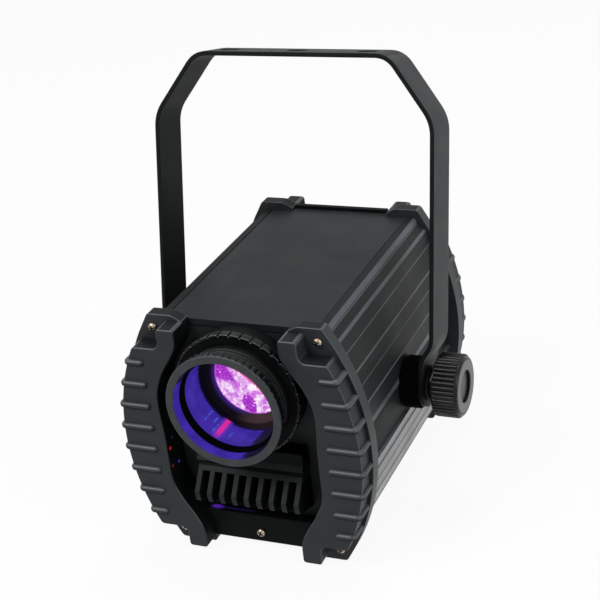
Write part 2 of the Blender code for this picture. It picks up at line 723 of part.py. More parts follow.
def housing(body, rear):
    tube = make("housing_tube", prism(tube_outline(), 0, TUBE_LENGTH), body, "anodised", (0, TUBE_FRONT, 0))
    bore = prism(tube_bore_outline(), -TUBE_FRONT, TUBE_LENGTH + TUBE_FRONT)
    pivot = (PIVOT_Y - TUBE_FRONT, 0)
    cut(tube, bore, disc(STUD_HOLE, -2 * TUBE_HALF_WIDTH, 2 * TUBE_HALF_WIDTH, "X", pivot, 16))

    front_cap = end_cap("front_cap", body)
    hole = SLEEVE_RADIUS + GAP
    cut(front_cap, disc(hole, 0, 2 * SPIGOT_DEPTH, centre=(0, LENS_Z), count=32))
    low = (-VENT_HALF_WIDTH, 0, VENT_BOTTOM)
    cut(front_cap, box(low, (VENT_HALF_WIDTH, 2 * SPIGOT_DEPTH, VENT_TOP)))

    rear_cap = end_cap("rear_cap", rear)
    window = offset(recess_outline(PANEL_TOP), -PANEL_LEDGE)
    cut(rear_cap, prism(window, 0, 2 * SPIGOT_DEPTH))
    cut(rear_cap, discs(SCREW_SHANK_RADIUS + GAP, panel_screw_places(), 0, 2 * SPIGOT_DEPTH, count=12))

    for end, parent in (("front", body), ("rear", rear)):
        number = 1
        for z in (SCREW_Z, -SCREW_Z):
            for x in (-SCREW_X, SCREW_X):
                screw(f"{end}_cap_screw_{number}", parent, (x, z), 0)
                number += 1
        screw(f"{end}_skirt_screw", parent, (0, SKIRT_SCREW_Z), 0, length=SPIGOT_DEPTH)


# Lens


def vent_hood(body):
    """The block below the lens and the fins that lean out from it."""
    back = RECESS_SEAT
    header_foot = HEADER_TOP - HEADER_HEIGHT - HEADER_UNDERCUT
    block = [
        (back, HOOD_TOP),
        (HOOD_TOP_SETBACK - HOOD_FACE, HOOD_TOP - HOOD_TOP_ROUND),
        (-HOOD_FACE, HOOD_LIP),
        (-HOOD_FACE / 2, HOOD_LIP - HOOD_LIP_STEP),
        (-HOOD_FACE, HEADER_TOP),
        (-HOOD_FACE - HEADER_REACH, HEADER_TOP - HEADER_HEIGHT),
        (-HOOD_FACE / 2, header_foot),
        (back, header_foot),
    ]
    hood = make("vent_hood", prism(block, -HOOD_HALF_WIDTH, HOOD_HALF_WIDTH, "X"), body, "cap_plastic")
    fin = [
        (-HOOD_FACE, HEADER_TOP - HEADER_HEIGHT / 4),
        (-FIN_NOSE_REACH, FIN_NOSE_Z),
        (-FIN_TIP_REACH, FIN_TIP_Z),
        (back, FIN_FOOT_Z),
        (back, HEADER_TOP - HEADER_HEIGHT / 2),
    ]
    fins = bmesh.new()
    for i in range(FIN_COUNT):
        x = (i - (FIN_COUNT - 1) / 2) * FIN_PITCH
        add_prism(fins, fin, x - FIN_WIDTH / 2, x + FIN_WIDTH / 2, "X")
    add(hood, fins)
    clearance = FOCUS_RING_RADIUS + RUNNING_GAP
    cut(hood, disc(clearance, -SPIGOT_DEPTH, 2 * SPIGOT_DEPTH, centre=(0, LENS_Z), count=32))


def lens_tube(lens):
    """The fixed sleeve, the ring that turns on it, and the barrel that the ring drives."""
    flange_front = SPIGOT_DEPTH + GAP
    sleeve = [
        (SLEEVE_RADIUS, SLEEVE_FRONT),
        (SLEEVE_RADIUS, flange_front),
        (SLEEVE_FLANGE_RADIUS, flange_front),
        (SLEEVE_FLANGE_RADIUS, flange_front + SLEEVE_FLANGE_THICKNESS),
        (SLEEVE_RADIUS, flange_front + SLEEVE_FLANGE_THICKNESS),
        (SLEEVE_RADIUS, SLEEVE_BACK),
        (SLEEVE_BORE, SLEEVE_BACK),
        (SLEEVE_BORE, SLEEVE_FRONT),
    ]
    obj = make("lens_sleeve", turned(sleeve), lens, "black_plastic")
    flat = TUBE_BORE_HALF_HEIGHT - LENS_Z - GAP
    low = (-2 * SLEEVE_FLANGE_RADIUS, SLEEVE_FRONT / 2, flat)
    cut(obj, box(low, (2 * SLEEVE_FLANGE_RADIUS, SLEEVE_BACK, 2 * flat)))

    grip_end = FOCUS_RING_FRONT + FOCUS_RING_GRIP
    lip_end = FOCUS_RING_FRONT + FOCUS_RING_LIP
    depth = FOCUS_RING_NOTCH_DEPTH
    grip = fluted(FOCUS_RING_RADIUS, depth, FOCUS_RING_NOTCHES, "Y", FOCUS_RING_FRONT, grip_end, 0.6)
    ring = make("focus_ring", grip, lens, "gloss_plastic")
    add(ring, disc(FOCUS_RING_COLLAR_RADIUS, lip_end, RECESS_SEAT, count=32))
    cut(ring, disc(SLEEVE_BORE, 2 * FOCUS_RING_FRONT, 0, count=32))
    cut(ring, disc(SLEEVE_RADIUS + GAP, lip_end, 2 * RECESS_SEAT, count=32))

    ring_back = FRONT_RING_LENGTH - LENS_REACH
    barrel_front = ring_back - FRONT_RING_LENGTH / 2
    seat_end = LENS_SEAT + GAP
    barrel = [
        (BARREL_RADIUS, barrel_front),
        (BARREL_RADIUS, BARREL_BACK),
        (LENS_RADIUS + GAP, BARREL_BACK),
        (LENS_RADIUS + GAP, LENS_SEAT),
        (LENS_APERTURE, LENS_SEAT),
        (BARREL_SHELF_APERTURE, BARREL_SHELF),
        (BARREL_BORE, BARREL_SHELF),
        (BARREL_BORE, barrel_front),
    ]
    make("lens_barrel", turned(barrel), lens, "black_plastic")

    rim = fluted(FRONT_RING_RADIUS, FRONT_RING_NOTCH_DEPTH, FRONT_RING_NOTCHES, "Y", -LENS_REACH, ring_back)
    front_ring = make("front_ring", rim, lens, "gloss_plastic")
    cut(front_ring, disc(FRONT_RING_APERTURE, -2 * LENS_REACH, 0, count=32))
    cut(front_ring, disc(BARREL_RADIUS + GAP, barrel_front - GAP, 0, count=32))

    outer = BARREL_BORE - GAP
    baffle = [
        (outer, BAFFLE_FRONT),
        (outer, BAFFLE_FRONT + BAFFLE_THICKNESS),
        (outer - BAFFLE_WIDTH, BAFFLE_FRONT + BAFFLE_THICKNESS),
        (outer - BAFFLE_WIDTH, BAFFLE_FRONT),
    ]
    make("baffle_ring", turned(baffle), lens, "rubber")

    profile = lens_profile(LENS_RADIUS, LENS_EDGE, LENS_APERTURE - GAP, LENS_BULGE, seat_end)
    make("front_lens", turned(profile), lens, "glass")
    clip_front = seat_end + LENS_EDGE + GAP
    outer = LENS_RADIUS
    clip = [
        (outer, clip_front),
        (outer, clip_front + CLIP_THICKNESS),
        (outer - CLIP_WIDTH, clip_front + CLIP_THICKNESS),
        (outer - CLIP_WIDTH, clip_front),
    ]
    make("lens_clip", turned(clip), lens, "steel")


def lens_profile(radius, edge, dome_radius, bulge, front, steps=4):
    """Half the section of a lens: a flat back, a rim, and a dome that swells forwards of the rim."""
    sphere = (dome_radius**2 + bulge**2) / (2 * bulge)
    limit = math.asin(dome_radius / sphere)
    centre = front - bulge + sphere
    dome = []
    for i in range(steps, 0, -1):
        angle = limit * i / steps
        dome.append((sphere * math.sin(angle), centre - sphere * math.cos(angle)))
    return [(0, front + edge), (radius, front + edge), (radius, front), *dome, (0, front - bulge)]


# Yoke and pivots


def yoke_outline():
    """The bar's edge view: up the outside of one arm, over the top, and back along the inside."""
    outer = [
        (YOKE_FOOT_HALF_WIDTH, -YOKE_BAR_WIDTH / 2),
        (YOKE_FOOT_HALF_WIDTH, JOGGLE_START),
        (YOKE_HALF_WIDTH, JOGGLE_END),
        (YOKE_HALF_WIDTH, YOKE_SHOULDER),
        (YOKE_TOP_HALF, YOKE_TOP),
    ]
    inner = []
    for i, here in enumerate(outer):
        point = Vector(here)
        before = (point - Vector(outer[i - 1])).normalized() if i else Vector((0, 1))
        after = (Vector(outer[i + 1]) - point).normalized() if i + 1 < len(outer) else Vector((-1, 0))
        inward = Vector((-before.y - after.y, before.x + after.x)).normalized()
        stretch = inward.dot(Vector((-before.y, before.x)))
        inner.append(tuple(point + inward * YOKE_BAR_THICKNESS / stretch))
    return outer + [(-x, z) for x, z in outer[::-1]] + [(-x, z) for x, z in inner] + inner[::-1]


def rounded_foot():
    """What lies outside the round end of an arm, in the bar's face view."""
    reach = YOKE_BAR_WIDTH / 2
    wide = 1.2 * reach
    end = circle(reach, 13, start=math.pi, sweep=math.pi)
    return [(wide, 0), (wide, -wide), (-wide, -wide), (-wide, 0), *end]


def yoke(pivot):
    half = YOKE_BAR_WIDTH / 2
    bar = make("yoke", prism(yoke_outline(), -half, half), pivot, "powder_coat")
    cut(bar, prism(rounded_foot(), -2 * YOKE_HALF_WIDTH, 2 * YOKE_HALF_WIDTH, "X"))
    cut(bar, disc(STUD_HOLE, -2 * YOKE_HALF_WIDTH, 2 * YOKE_HALF_WIDTH, "X", count=16))
    places = [(x, 0) for x in (-YOKE_HOLE_SPACING, 0, YOKE_HOLE_SPACING)]
    cut(bar, discs(YOKE_HOLE_RADIUS, places, YOKE_SHOULDER, 2 * YOKE_TOP, "Z", 24))


def pivot_pieces(body):
    """Spacer, washer, knob and nut block of both sides. The knob's stud runs through all of them."""
    washer_start = YOKE_FOOT_HALF_WIDTH + GAP
    neck_start = washer_start + WASHER_THICKNESS + GAP
    for side, name in ((-1, "left"), (1, "right")):
        axis = frame(f"{name}_pivot", (0, PIVOT_Y, 0), body, (0, 0, math.pi if side < 0 else 0))
        spacer_start = SIDE_CHANNEL_X + GAP
        spacer_end = YOKE_FOOT_HALF_WIDTH - YOKE_BAR_THICKNESS - GAP
        spacer = [
            (SPACER_INNER_RADIUS, spacer_start),
            (SPACER_RADIUS, spacer_start + SPACER_TAPER),
            (SPACER_RADIUS, spacer_end - SPACER_ROUND),
            (SPACER_RADIUS - SPACER_ROUND, spacer_end),
            (STUD_HOLE, spacer_end),
            (STUD_HOLE, spacer_start),
        ]
        make(f"{name}_spacer", turned(spacer, "X", 24), axis, "rubber")

        washer = disc(WASHER_RADIUS, washer_start, washer_start + WASHER_THICKNESS, "X", count=24)
        washer_obj = make(f"{name}_washer", washer, axis, "black_plastic")
        cut(washer_obj, disc(STUD_HOLE, 0, 2 * KNOB_FACE, "X", count=16))

        nut_end = round_side(TUBE_BORE_HALF_WIDTH, TUBE_BORE_SIDE_RADIUS, NUT_HALF_SIZE) - GAP
        nut = make(
            f"{name}_nut_block",
            prism(rectangle(NUT_HALF_SIZE, NUT_HALF_SIZE), nut_end - NUT_THICKNESS, nut_end, "X"),
            axis,
            "steel",
        )
        cut(nut, disc(STUD_HOLE, 0, 2 * KNOB_FACE, "X", count=16))

        rim_end = KNOB_FACE - KNOB_BEVEL
        rim_start = KNOB_BACK + KNOB_RIM_START
        rim = fluted(KNOB_RADIUS, KNOB_FLUTE_DEPTH, KNOB_FLUTES, "X", rim_start, rim_end)
        knob = make(f"{name}_knob", rim, axis, "gloss_plastic")
        core_radius = KNOB_RADIUS - KNOB_FLUTE_DEPTH * 1.5
        core = [
            (0, STUD_REACH),
            (STUD_RADIUS * 0.8, STUD_REACH),
            (STUD_RADIUS, STUD_REACH + STUD_RADIUS * 0.2),
            (STUD_RADIUS, neck_start),
            (KNOB_NECK_RADIUS, neck_start),
            (KNOB_NECK_RADIUS, KNOB_BACK),
            (core_radius, KNOB_BACK),
            (core_radius, rim_end),
            (core_radius - KNOB_BEVEL, KNOB_FACE),
            (KNOB_RECESS_RADIUS, KNOB_FACE),
            (KNOB_RECESS_RADIUS, KNOB_FACE - KNOB_RECESS_DEPTH),
            (0, KNOB_FACE - KNOB_RECESS_DEPTH),
        ]
        add(knob, turned(core, "X", 24))


# Inside


def chassis(body):
    """A bent plate that stands on the tube's floor and carries the lamp and the motor."""
    floor = TUBE_FLOOR + GAP
    half = CHASSIS_HALF_WIDTH
    wall = CHASSIS_WALL
    side = [(half, CHASSIS_TOP), (half, floor), (half - wall, floor), (half - wall, CHASSIS_TOP - wall)]
    make("chassis", prism(mirrored(side), CHASSIS_FRONT, CHASSIS_BACK), body, "aluminium")

    low = (-SUPPLY_HALF_WIDTH, SUPPLY_FRONT, floor)
    high = (SUPPLY_HALF_WIDTH, SUPPLY_FRONT + SUPPLY_LENGTH, floor + SUPPLY_HEIGHT)
    supply = make("power_supply", box(low, high), body, "steel")
    step = SUPPLY_LID_STEP
    lid_low = (low[0] + step, low[1] + step, high[2] - step)
    add(supply, box(lid_low, (high[0] - step, high[1] - step, high[2] + step)))


def lamp(body):
    """Heatsink, LED board, LED and condenser, on the lens axis."""
    floor = CHASSIS_TOP + GAP
    back = HEATSINK_FRONT + HEATSINK_BASE
    low = (-HEATSINK_HALF_WIDTH, HEATSINK_FRONT, floor)
    sink = make("led_heatsink", box(low, (HEATSINK_HALF_WIDTH, back, HEATSINK_TOP)), body, "aluminium")
    fins = bmesh.new()
    reach = HEATSINK_HALF_WIDTH - HEATSINK_FIN_THICKNESS / 2
    for x in spaced(-reach, reach, HEATSINK_FINS):
        half = HEATSINK_FIN_THICKNESS / 2
        outline = rectangle(half, (HEATSINK_TOP - floor) / 2, (x, (HEATSINK_TOP + floor) / 2))
        add_prism(fins, outline, back - HEATSINK_BASE / 2, HEATSINK_FRONT + HEATSINK_DEPTH, "Y")
    add(sink, fins)

    half = LED_BOARD_HALF_SIZE
    board = prism(rectangle(half, half, (0, LENS_Z)), LED_FACE, LED_FACE + LED_BOARD_THICKNESS)
    make("led_board", board, body, "board")
    led_back = LED_FACE - GAP
    dome = [(0, led_back), (LED_RADIUS, led_back)]
    for i in range(1, 4):
        angle = math.pi / 2 * i / 4
        dome.append((LED_RADIUS * math.cos(angle), led_back - LED_HEIGHT * math.sin(angle)))
    make("led", turned([*dome, (0, led_back - LED_HEIGHT)], count=16, centre=(0, LENS_Z)), body, "led")

    front = led_back - CONDENSER_LENGTH
    glass_seat = front + CONDENSER_WALL
    bore = CONDENSER_RADIUS - CONDENSER_WALL
    tube = [
        (CONDENSER_RADIUS, front),
        (CONDENSER_RADIUS, led_back),
        (bore, led_back),
        (bore, glass_seat),
        (bore - CONDENSER_WALL, glass_seat),
        (bore - CONDENSER_WALL, front),
    ]
    make("condenser_tube", turned(tube, count=24, centre=(0, LENS_Z)), body, "aluminium")
    aperture = bore - CONDENSER_WALL
    profile = lens_profile(
        bore - GAP, CONDENSER_GLASS_EDGE, aperture - GAP, CONDENSER_GLASS_BULGE, glass_seat + GAP
    )
    make("condenser_lens", turned(profile, count=24, centre=(0, LENS_Z)), body, "glass")


def effect_wheel(body):
    """The pattern wheel on its shaft, and the motor that turns it."""
    axis = frame("wheel_axis", (0, 0, WHEEL_Z), body)
    back = WHEEL_FRONT + WHEEL_THICKNESS
    shaft_end = MOTOR_FRONT + MOTOR_SHAFT_DEPTH
    profile = [
        (0, WHEEL_FRONT - WHEEL_THICKNESS),
        (WHEEL_HUB_RADIUS, WHEEL_FRONT - WHEEL_THICKNESS),
        (WHEEL_HUB_RADIUS, WHEEL_FRONT),
        (WHEEL_RADIUS, WHEEL_FRONT),
        (WHEEL_RADIUS, back),
        (WHEEL_HUB_RADIUS, back),
        (WHEEL_HUB_RADIUS, MOTOR_FRONT - GAP),
        (MOTOR_SHAFT_RADIUS, MOTOR_FRONT - GAP),
        (MOTOR_SHAFT_RADIUS, shaft_end),
        (0, shaft_end),
    ]
    wheel = make("effect_wheel", turned(profile, count=24), axis, "black_plastic")
    places = circle(WHEEL_OFFSET, WHEEL_WINDOWS, start=math.pi / 2)
    cut(wheel, discs(WHEEL_WINDOW_RADIUS, places, WHEEL_FRONT / 2, MOTOR_FRONT, count=10))

    half = MOTOR_HALF_SIZE
    corner = half * 0.2
    outline = [(half - corner, half), (half, half - corner), (half, corner - half), (half - corner, -half)]
    motor = make(
        "effect_motor", prism(mirrored(outline), MOTOR_FRONT, MOTOR_FRONT + MOTOR_LENGTH), axis, "steel"
    )
    cut(motor, disc(MOTOR_SHAFT_RADIUS + GAP, 0, shaft_end + GAP, count=32))


# Rear panel


def panel_screw_places():
    lower_x = PANEL_SCREW_X + PANEL_LEDGE / 2
    upper = [(-PANEL_SCREW_X, PANEL_SCREW_TOP), (PANEL_SCREW_X, PANEL_SCREW_TOP)]
    return upper + [(-lower_x, PANEL_SCREW_BOTTOM), (lower_x, PANEL_SCREW_BOTTOM)]


def button_places():
    middle = (BUTTON_COUNT - 1) / 2
    return [(DISPLAY_X + (i - middle) * BUTTON_PITCH, BUTTON_Z) for i in range(BUTTON_COUNT)]


def rear_panel(rear):
    plate = prism(offset(recess_outline(PANEL_TOP), -GAP), PANEL_FACE, RECESS_SEAT)
    panel = make("rear_panel", plate, rear, "powder_coat")
    through = 2 * SPIGOT_DEPTH
    middle = (VENT_SLOTS - 1) / 2
    slots = bmesh.new()
    for i in range(VENT_SLOTS):
        height = (i - middle) * VENT_SLOT_PITCH
        reach = math.sqrt((FAN_BORE - VENT_SLOT_HEIGHT / 2) ** 2 - height**2)
        add_prism(slots, rectangle(reach, VENT_SLOT_HEIGHT / 2, (0, FAN_Z + height)), 0, through, "Y")
    cut(panel, slots)
    socket = rectangle(INLET_HALF_WIDTH + GAP, INLET_HALF_HEIGHT + GAP, (INLET_X, INLET_Z))
    cut(panel, prism(socket, 0, through))
    cut(panel, disc(FUSE_RADIUS + GAP, 0, through, centre=(FUSE_X, FUSE_Z), count=24))
    window = rectangle(DISPLAY_HALF_WIDTH + GAP, DISPLAY_HALF_HEIGHT + GAP, (DISPLAY_X, DISPLAY_Z))
    cut(panel, prism(window, 0, through))
    cut(panel, discs(BUTTON_RADIUS + GAP, button_places(), 0, through, count=12))
    cut(panel, discs(SCREW_SHANK_RADIUS + GAP, panel_screw_places(), 0, through, count=12))
    for number, place in enumerate(panel_screw_places(), 1):
        screw(f"panel_screw_{number}", rear, place, PANEL_FACE, 0.75, SPIGOT_DEPTH - PANEL_FACE)


def fan(rear):
    """Frame with its motor cup, and the rotor on the cup's pin."""
    front = RECESS_SEAT + GAP
    back = front + FAN_DEPTH
    centre = (0, FAN_Z)
    outline = rectangle(FAN_HALF_SIZE, FAN_HALF_SIZE, centre)
    casing = make("fan_frame", prism(outline, front, back), rear, "black_plastic")
    cut(casing, disc(FAN_BORE, 0, 2 * back, centre=centre))
    cup_front = back - FAN_DEPTH / 5
    reach = (FAN_BORE + FAN_HALF_SIZE) / 2
    for i in range(FAN_SPOKES):
        bar = rectangle(reach / 2, FAN_SPOKE_HALF_WIDTH, (reach / 2, 0))
        spoke = prism(bar, cup_front + FAN_SPOKE_HALF_WIDTH, back)
        turn = Matrix.Rotation(2 * math.pi * i / FAN_SPOKES + math.pi / 2, 3, "Y")
        bmesh.ops.rotate(spoke, matrix=turn, verts=spoke.verts)
        bmesh.ops.translate(spoke, vec=(0, 0, FAN_Z), verts=spoke.verts)
        add(casing, spoke)
    pin_front = front + FAN_DEPTH / 4
    cup = [
        (0, pin_front),
        (FAN_PIN_RADIUS, pin_front),
        (FAN_PIN_RADIUS, cup_front),
        (FAN_HUB_RADIUS, cup_front),
        (FAN_HUB_RADIUS, back),
        (0, back),
    ]
    add(casing, turned(cup, count=24, centre=centre))

    axis = frame("fan_axis", (0, 0, FAN_Z), rear)
    hub_front = front + RUNNING_GAP
    hub_back = cup_front - GAP
    bore = FAN_PIN_RADIUS + GAP
    hub = [
        (0, hub_front),
        (FAN_HUB_RADIUS, hub_front),
        (FAN_HUB_RADIUS, hub_back),
        (bore, hub_back),
        (bore, pin_front - GAP),
        (0, pin_front - GAP),
    ]
    rotor = make("fan_rotor", turned(hub, count=24), axis, "black_plastic")
    middle = (hub_front + hub_back) / 2
    chord = (hub_back - hub_front) / 2 / math.sin(FAN_BLADE_PITCH) * 0.9
    reach = FAN_BORE - 2 * RUNNING_GAP
    for i in range(FAN_BLADES):
        blade = box(
            (FAN_HUB_RADIUS * 0.8, -FAN_BLADE_THICKNESS / 2, -chord),
            (reach - chord / 4, FAN_BLADE_THICKNESS / 2, chord),
        )
        bmesh.ops.rotate(blade, matrix=Matrix.Rotation(FAN_BLADE_PITCH, 3, "X"), verts=blade.verts)
        bmesh.ops.translate(blade, vec=(0, middle, 0), verts=blade.verts)
        turn = Matrix.Rotation(2 * math.pi * i / FAN_BLADES, 3, "Y")
        bmesh.ops.rotate(blade, matrix=turn, verts=blade.verts)
        add(rotor, blade)


def sockets(rear):
    """Mains inlet and fuse holder, each with a flange on the panel's outer face."""
    flange_front = PANEL_FACE - GAP - PANEL_THICKNESS
    flange_back = PANEL_FACE - GAP
    place = (INLET_X, INLET_Z)
    wide = INLET_HALF_WIDTH + INLET_FLANGE
    high = INLET_HALF_HEIGHT + INLET_FLANGE
    flange = prism(rectangle(wide, high, place), flange_front, flange_back)
    shell = make("power_inlet", flange, rear, "black_plastic")
    back = flange_front + INLET_DEPTH
    body_front = (flange_front + flange_back) / 2
    add(shell, prism(rectangle(INLET_HALF_WIDTH, INLET_HALF_HEIGHT, place), body_front, back))
    socket = prism(
        rectangle(INLET_HALF_WIDTH - INLET_WALL, INLET_HALF_HEIGHT - INLET_WALL, place),
        -BUMPER_DEPTH,
        flange_front + INLET_SOCKET_DEPTH,
    )
    cut(shell, socket)
    pins = bmesh.new()
    for x, z in INLET_PIN_PLACES:
        outline = rectangle(INLET_PIN_HALF_WIDTH, INLET_PIN_HALF_HEIGHT, (INLET_X + x, INLET_Z + z))
        add_prism(pins, outline, flange_front + INLET_PIN_RECESS, back - INLET_WALL, "Y")
    add(shell, pins)

    fuse = [
        (0, flange_front - FUSE_CAP),
        (FUSE_RADIUS, flange_front - FUSE_CAP),
        (FUSE_RADIUS + FUSE_FLANGE, flange_front),
        (FUSE_RADIUS + FUSE_FLANGE, flange_back),
        (FUSE_RADIUS, flange_back),
        (FUSE_RADIUS, FUSE_DEPTH),
        (0, FUSE_DEPTH),
    ]
    make("fuse_holder", turned(fuse, count=24, centre=(FUSE_X, FUSE_Z)), rear, "black_plastic")


def controls(rear):
    """Display, buttons and the board behind them."""
    board_front = RECESS_SEAT + GAP + BOARD_STANDOFF
    middle = (BOARD_TOP + BOARD_BOTTOM) / 2
    half_height = (BOARD_TOP - BOARD_BOTTOM) / 2
    outline = rectangle(BOARD_HALF_WIDTH, half_height, (DISPLAY_X, middle))
    board = make("control_board", prism(outline, board_front, board_front + BOARD_THICKNESS), rear, "board")
    post = BUTTON_RADIUS * 0.7
    for x in (-1, 1):
        for z in (-1, 1):
            place = (DISPLAY_X + x * (BOARD_HALF_WIDTH - post), middle + z * (half_height - post))
            posts = disc(post, RECESS_SEAT + GAP, board_front + BOARD_THICKNESS / 2, centre=place, count=12)
            add(board, posts)

    shown = rectangle(DISPLAY_HALF_WIDTH, DISPLAY_HALF_HEIGHT, (DISPLAY_X, DISPLAY_Z))
    make("display", prism(shown, PANEL_FACE, board_front - GAP), rear, "display")

    collar_front = RECESS_SEAT + GAP
    for number, place in enumerate(button_places(), 1):
        stem = frame(f"button_axis_{number}", (place[0], 0, place[1]), rear)
        button = [
            (0, PANEL_FACE - BUTTON_PROUD),
            (BUTTON_RADIUS * 0.85, PANEL_FACE - BUTTON_PROUD),
            (BUTTON_RADIUS, PANEL_FACE - BUTTON_PROUD * 0.7),
            (BUTTON_RADIUS, collar_front),
            (BUTTON_RADIUS + BUTTON_COLLAR, collar_front),
            (BUTTON_RADIUS + BUTTON_COLLAR, collar_front + BUTTON_COLLAR),
            (BUTTON_RADIUS * 0.6, collar_front + BUTTON_COLLAR),
            (BUTTON_RADIUS * 0.6, board_front - BUTTON_TRAVEL - GAP),
            (0, board_front - BUTTON_TRAVEL - GAP),
        ]
        make(f"menu_button_{number}", turned(button, count=12), stem, "rubber")


def build():
    clear_scene()
    body = frame("body_frame", (0, -Y_MIDDLE, FLANGE_HALF_HEIGHT))
    rear = frame("rear_frame", (0, CAP_SPAN, 0), body, (0, 0, math.pi))
    lens = frame("lens_axis", (0, 0, LENS_Z), body)
    pivot = frame("yoke_pivot", (0, PIVOT_Y, 0), body, (-YOKE_LEAN, 0, 0))
    housing(body, rear)
    vent_hood(body)
    lens_tube(lens)
    yoke(pivot)
    pivot_pieces(body)
    chassis(body)
    lamp(body)
    effect_wheel(body)
    rear_panel(rear)
    fan(rear)
    sockets(rear)
    controls(rear)


build()
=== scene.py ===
"""Looks of the stage light: detailed pieces, materials, studio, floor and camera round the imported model.

Shapes are drawn in millimetres, in the frame of the part that they belong to, and placed in metres.
"""

import json
import math

import bmesh
import bpy
from mathutils import Matrix, Vector

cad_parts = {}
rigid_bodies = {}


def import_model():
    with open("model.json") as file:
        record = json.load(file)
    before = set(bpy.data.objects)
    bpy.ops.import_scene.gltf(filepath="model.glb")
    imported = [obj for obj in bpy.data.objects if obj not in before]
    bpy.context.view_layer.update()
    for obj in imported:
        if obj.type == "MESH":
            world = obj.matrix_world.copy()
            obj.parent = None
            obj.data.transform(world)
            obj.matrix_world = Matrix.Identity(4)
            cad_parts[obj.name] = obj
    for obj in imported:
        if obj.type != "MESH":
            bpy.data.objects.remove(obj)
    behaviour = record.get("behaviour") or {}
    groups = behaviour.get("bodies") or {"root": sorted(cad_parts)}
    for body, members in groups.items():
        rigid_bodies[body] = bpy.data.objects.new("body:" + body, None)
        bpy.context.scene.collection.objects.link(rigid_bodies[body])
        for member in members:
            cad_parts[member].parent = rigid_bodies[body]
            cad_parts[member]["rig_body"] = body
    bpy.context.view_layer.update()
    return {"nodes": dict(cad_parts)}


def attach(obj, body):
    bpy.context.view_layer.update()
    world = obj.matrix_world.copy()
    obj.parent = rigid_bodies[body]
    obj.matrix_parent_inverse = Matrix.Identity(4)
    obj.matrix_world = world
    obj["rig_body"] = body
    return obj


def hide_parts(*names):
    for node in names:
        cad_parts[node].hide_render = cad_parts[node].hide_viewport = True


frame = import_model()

TAU = 2 * math.pi
QUARTER = math.pi / 2

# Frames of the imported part, in millimetres; the body's starts at the middle of the front flange
BODY_Y = -82.95
BODY_Z = 79.0
BODY_LENGTH = 179.0
LENS_Z = 33.6
PIVOT_Y = 86.4
YOKE_LEAN = -13.4
BODY = Matrix.Translation((0, BODY_Y, BODY_Z))
REAR = BODY @ Matrix.Translation((0, BODY_LENGTH, 0)) @ Matrix.Rotation(math.pi, 4, "Z")
LENS = BODY @ Matrix.Translation((0, 0, LENS_Z))
PIVOT = BODY @ Matrix.Translation((0, PIVOT_Y, 0))
YOKE = PIVOT @ Matrix.Rotation(math.radians(YOKE_LEAN), 4, "X")
METRES = Matrix.Diagonal((0.001, 0.001, 0.001, 1))
ALONG = {
    "X": Matrix(((0, 0, 1, 0), (1, 0, 0, 0), (0, 1, 0, 0), (0, 0, 0, 1))),
    "Y": Matrix(((1, 0, 0, 0), (0, 0, 1, 0), (0, 1, 0, 0), (0, 0, 0, 1))),
    "Z": Matrix.Identity(4),
}

# Bulging sides, each as its half width at mid height and its radius
TUBE_CURVE = (72.0, 183.5)
BORE_CURVE = (67.5, 179.0)
FLANGE_CURVE = (79.0, 144.0)
BUMPER_CURVE = (76.7, 139.5)

# Tube
TUBE_TOP = 73.6
TUBE_START = 8.8
TUBE_END = 170.2
CORNER_X = 55.3
CORNER_CUT = 2.4

# End caps
FLANGE_HEIGHT = 79.0
FLANGE_X = 55.6
FLANGE_DEPTH = 8.5
RECESS_FLOOR = 8.0
RECESS_SEAT = 7.7
SILL = -55.0
SPIGOT = 12.0
BUMPER_DEPTH = 12.4
BUMPER_ROOT = 0.4
BUMPER_HEIGHT = 75.6
BUMPER_X = 44.4
RIB_COUNT = 8
RIB_PITCH = 14.9
RIB_HEIGHT = {"front_cap": 2.1, "rear_cap": 1.15}
SKIRT_HALF_WIDTH = 36.4
SKIRT_BOTTOM = -74.0
FOOT_X = 32.2
PANEL_TOP = 68.6
INNER_EDGE = [
    (32.8, BUMPER_HEIGHT), (32.8, 64.2), (38.8, 54.8), (45.1, 45.7), (50.0, 33.2), (50.6, 23.2),
    (49.5, 3.2), (49.5, -29.8), (42.5, -43.8), (36.0, -53.8), (FOOT_X, -62.8), (FOOT_X, -BUMPER_HEIGHT),
]

# Cap screws
SCREW_X = 52.6
SCREW_Z = 70.6
SCREW_SEAT = -0.3
SKIRT_SCREW_Z = -67.2

# How shapes are drawn: lengths in millimetres, angles in degrees
AXIS = 0.005  # radius of a point on an axis
THROUGH = 30.0  # how far a hole's cutter reaches
ROUNDING_STEPS = 3
RIM_COUNT = 128  # points round the lens tube
LEAST_TURN = 8.0  # between two sides of a rounded edge
EDGE_LENGTH = 1.2  # longest side of a rounded edge
SHARP_ANGLE = 35.0  # from which an edge is shaded sharp


# Outlines


def spaced(start, end, count):
    return [start + (end - start) * i / (count - 1) for i in range(count)]


def circle(radius, count, centre=(0.0, 0.0), start=0.0, sweep=TAU):
    steps = count if sweep == TAU else count - 1
    angles = [start + sweep * i / steps for i in range(count)]
    return [(centre[0] + radius * math.cos(a), centre[1] + radius * math.sin(a)) for a in angles]


def rectangle(half_width, half_height, centre=(0.0, 0.0)):
    corners = ((-1, -1), (1, -1), (1, 1), (-1, 1))
    return [(centre[0] + a * half_width, centre[1] + b * half_height) for a, b in corners]


def side_x(curve, z):
    half_width, radius = curve
    return half_width - radius + math.sqrt(radius**2 - z**2)


def side_arc(curve, height, count):
    return [(side_x(curve, z), z) for z in spaced(height, -height, count)]


def mirrored(points):
    return points + [(-x, z) for x, z in reversed(points)]


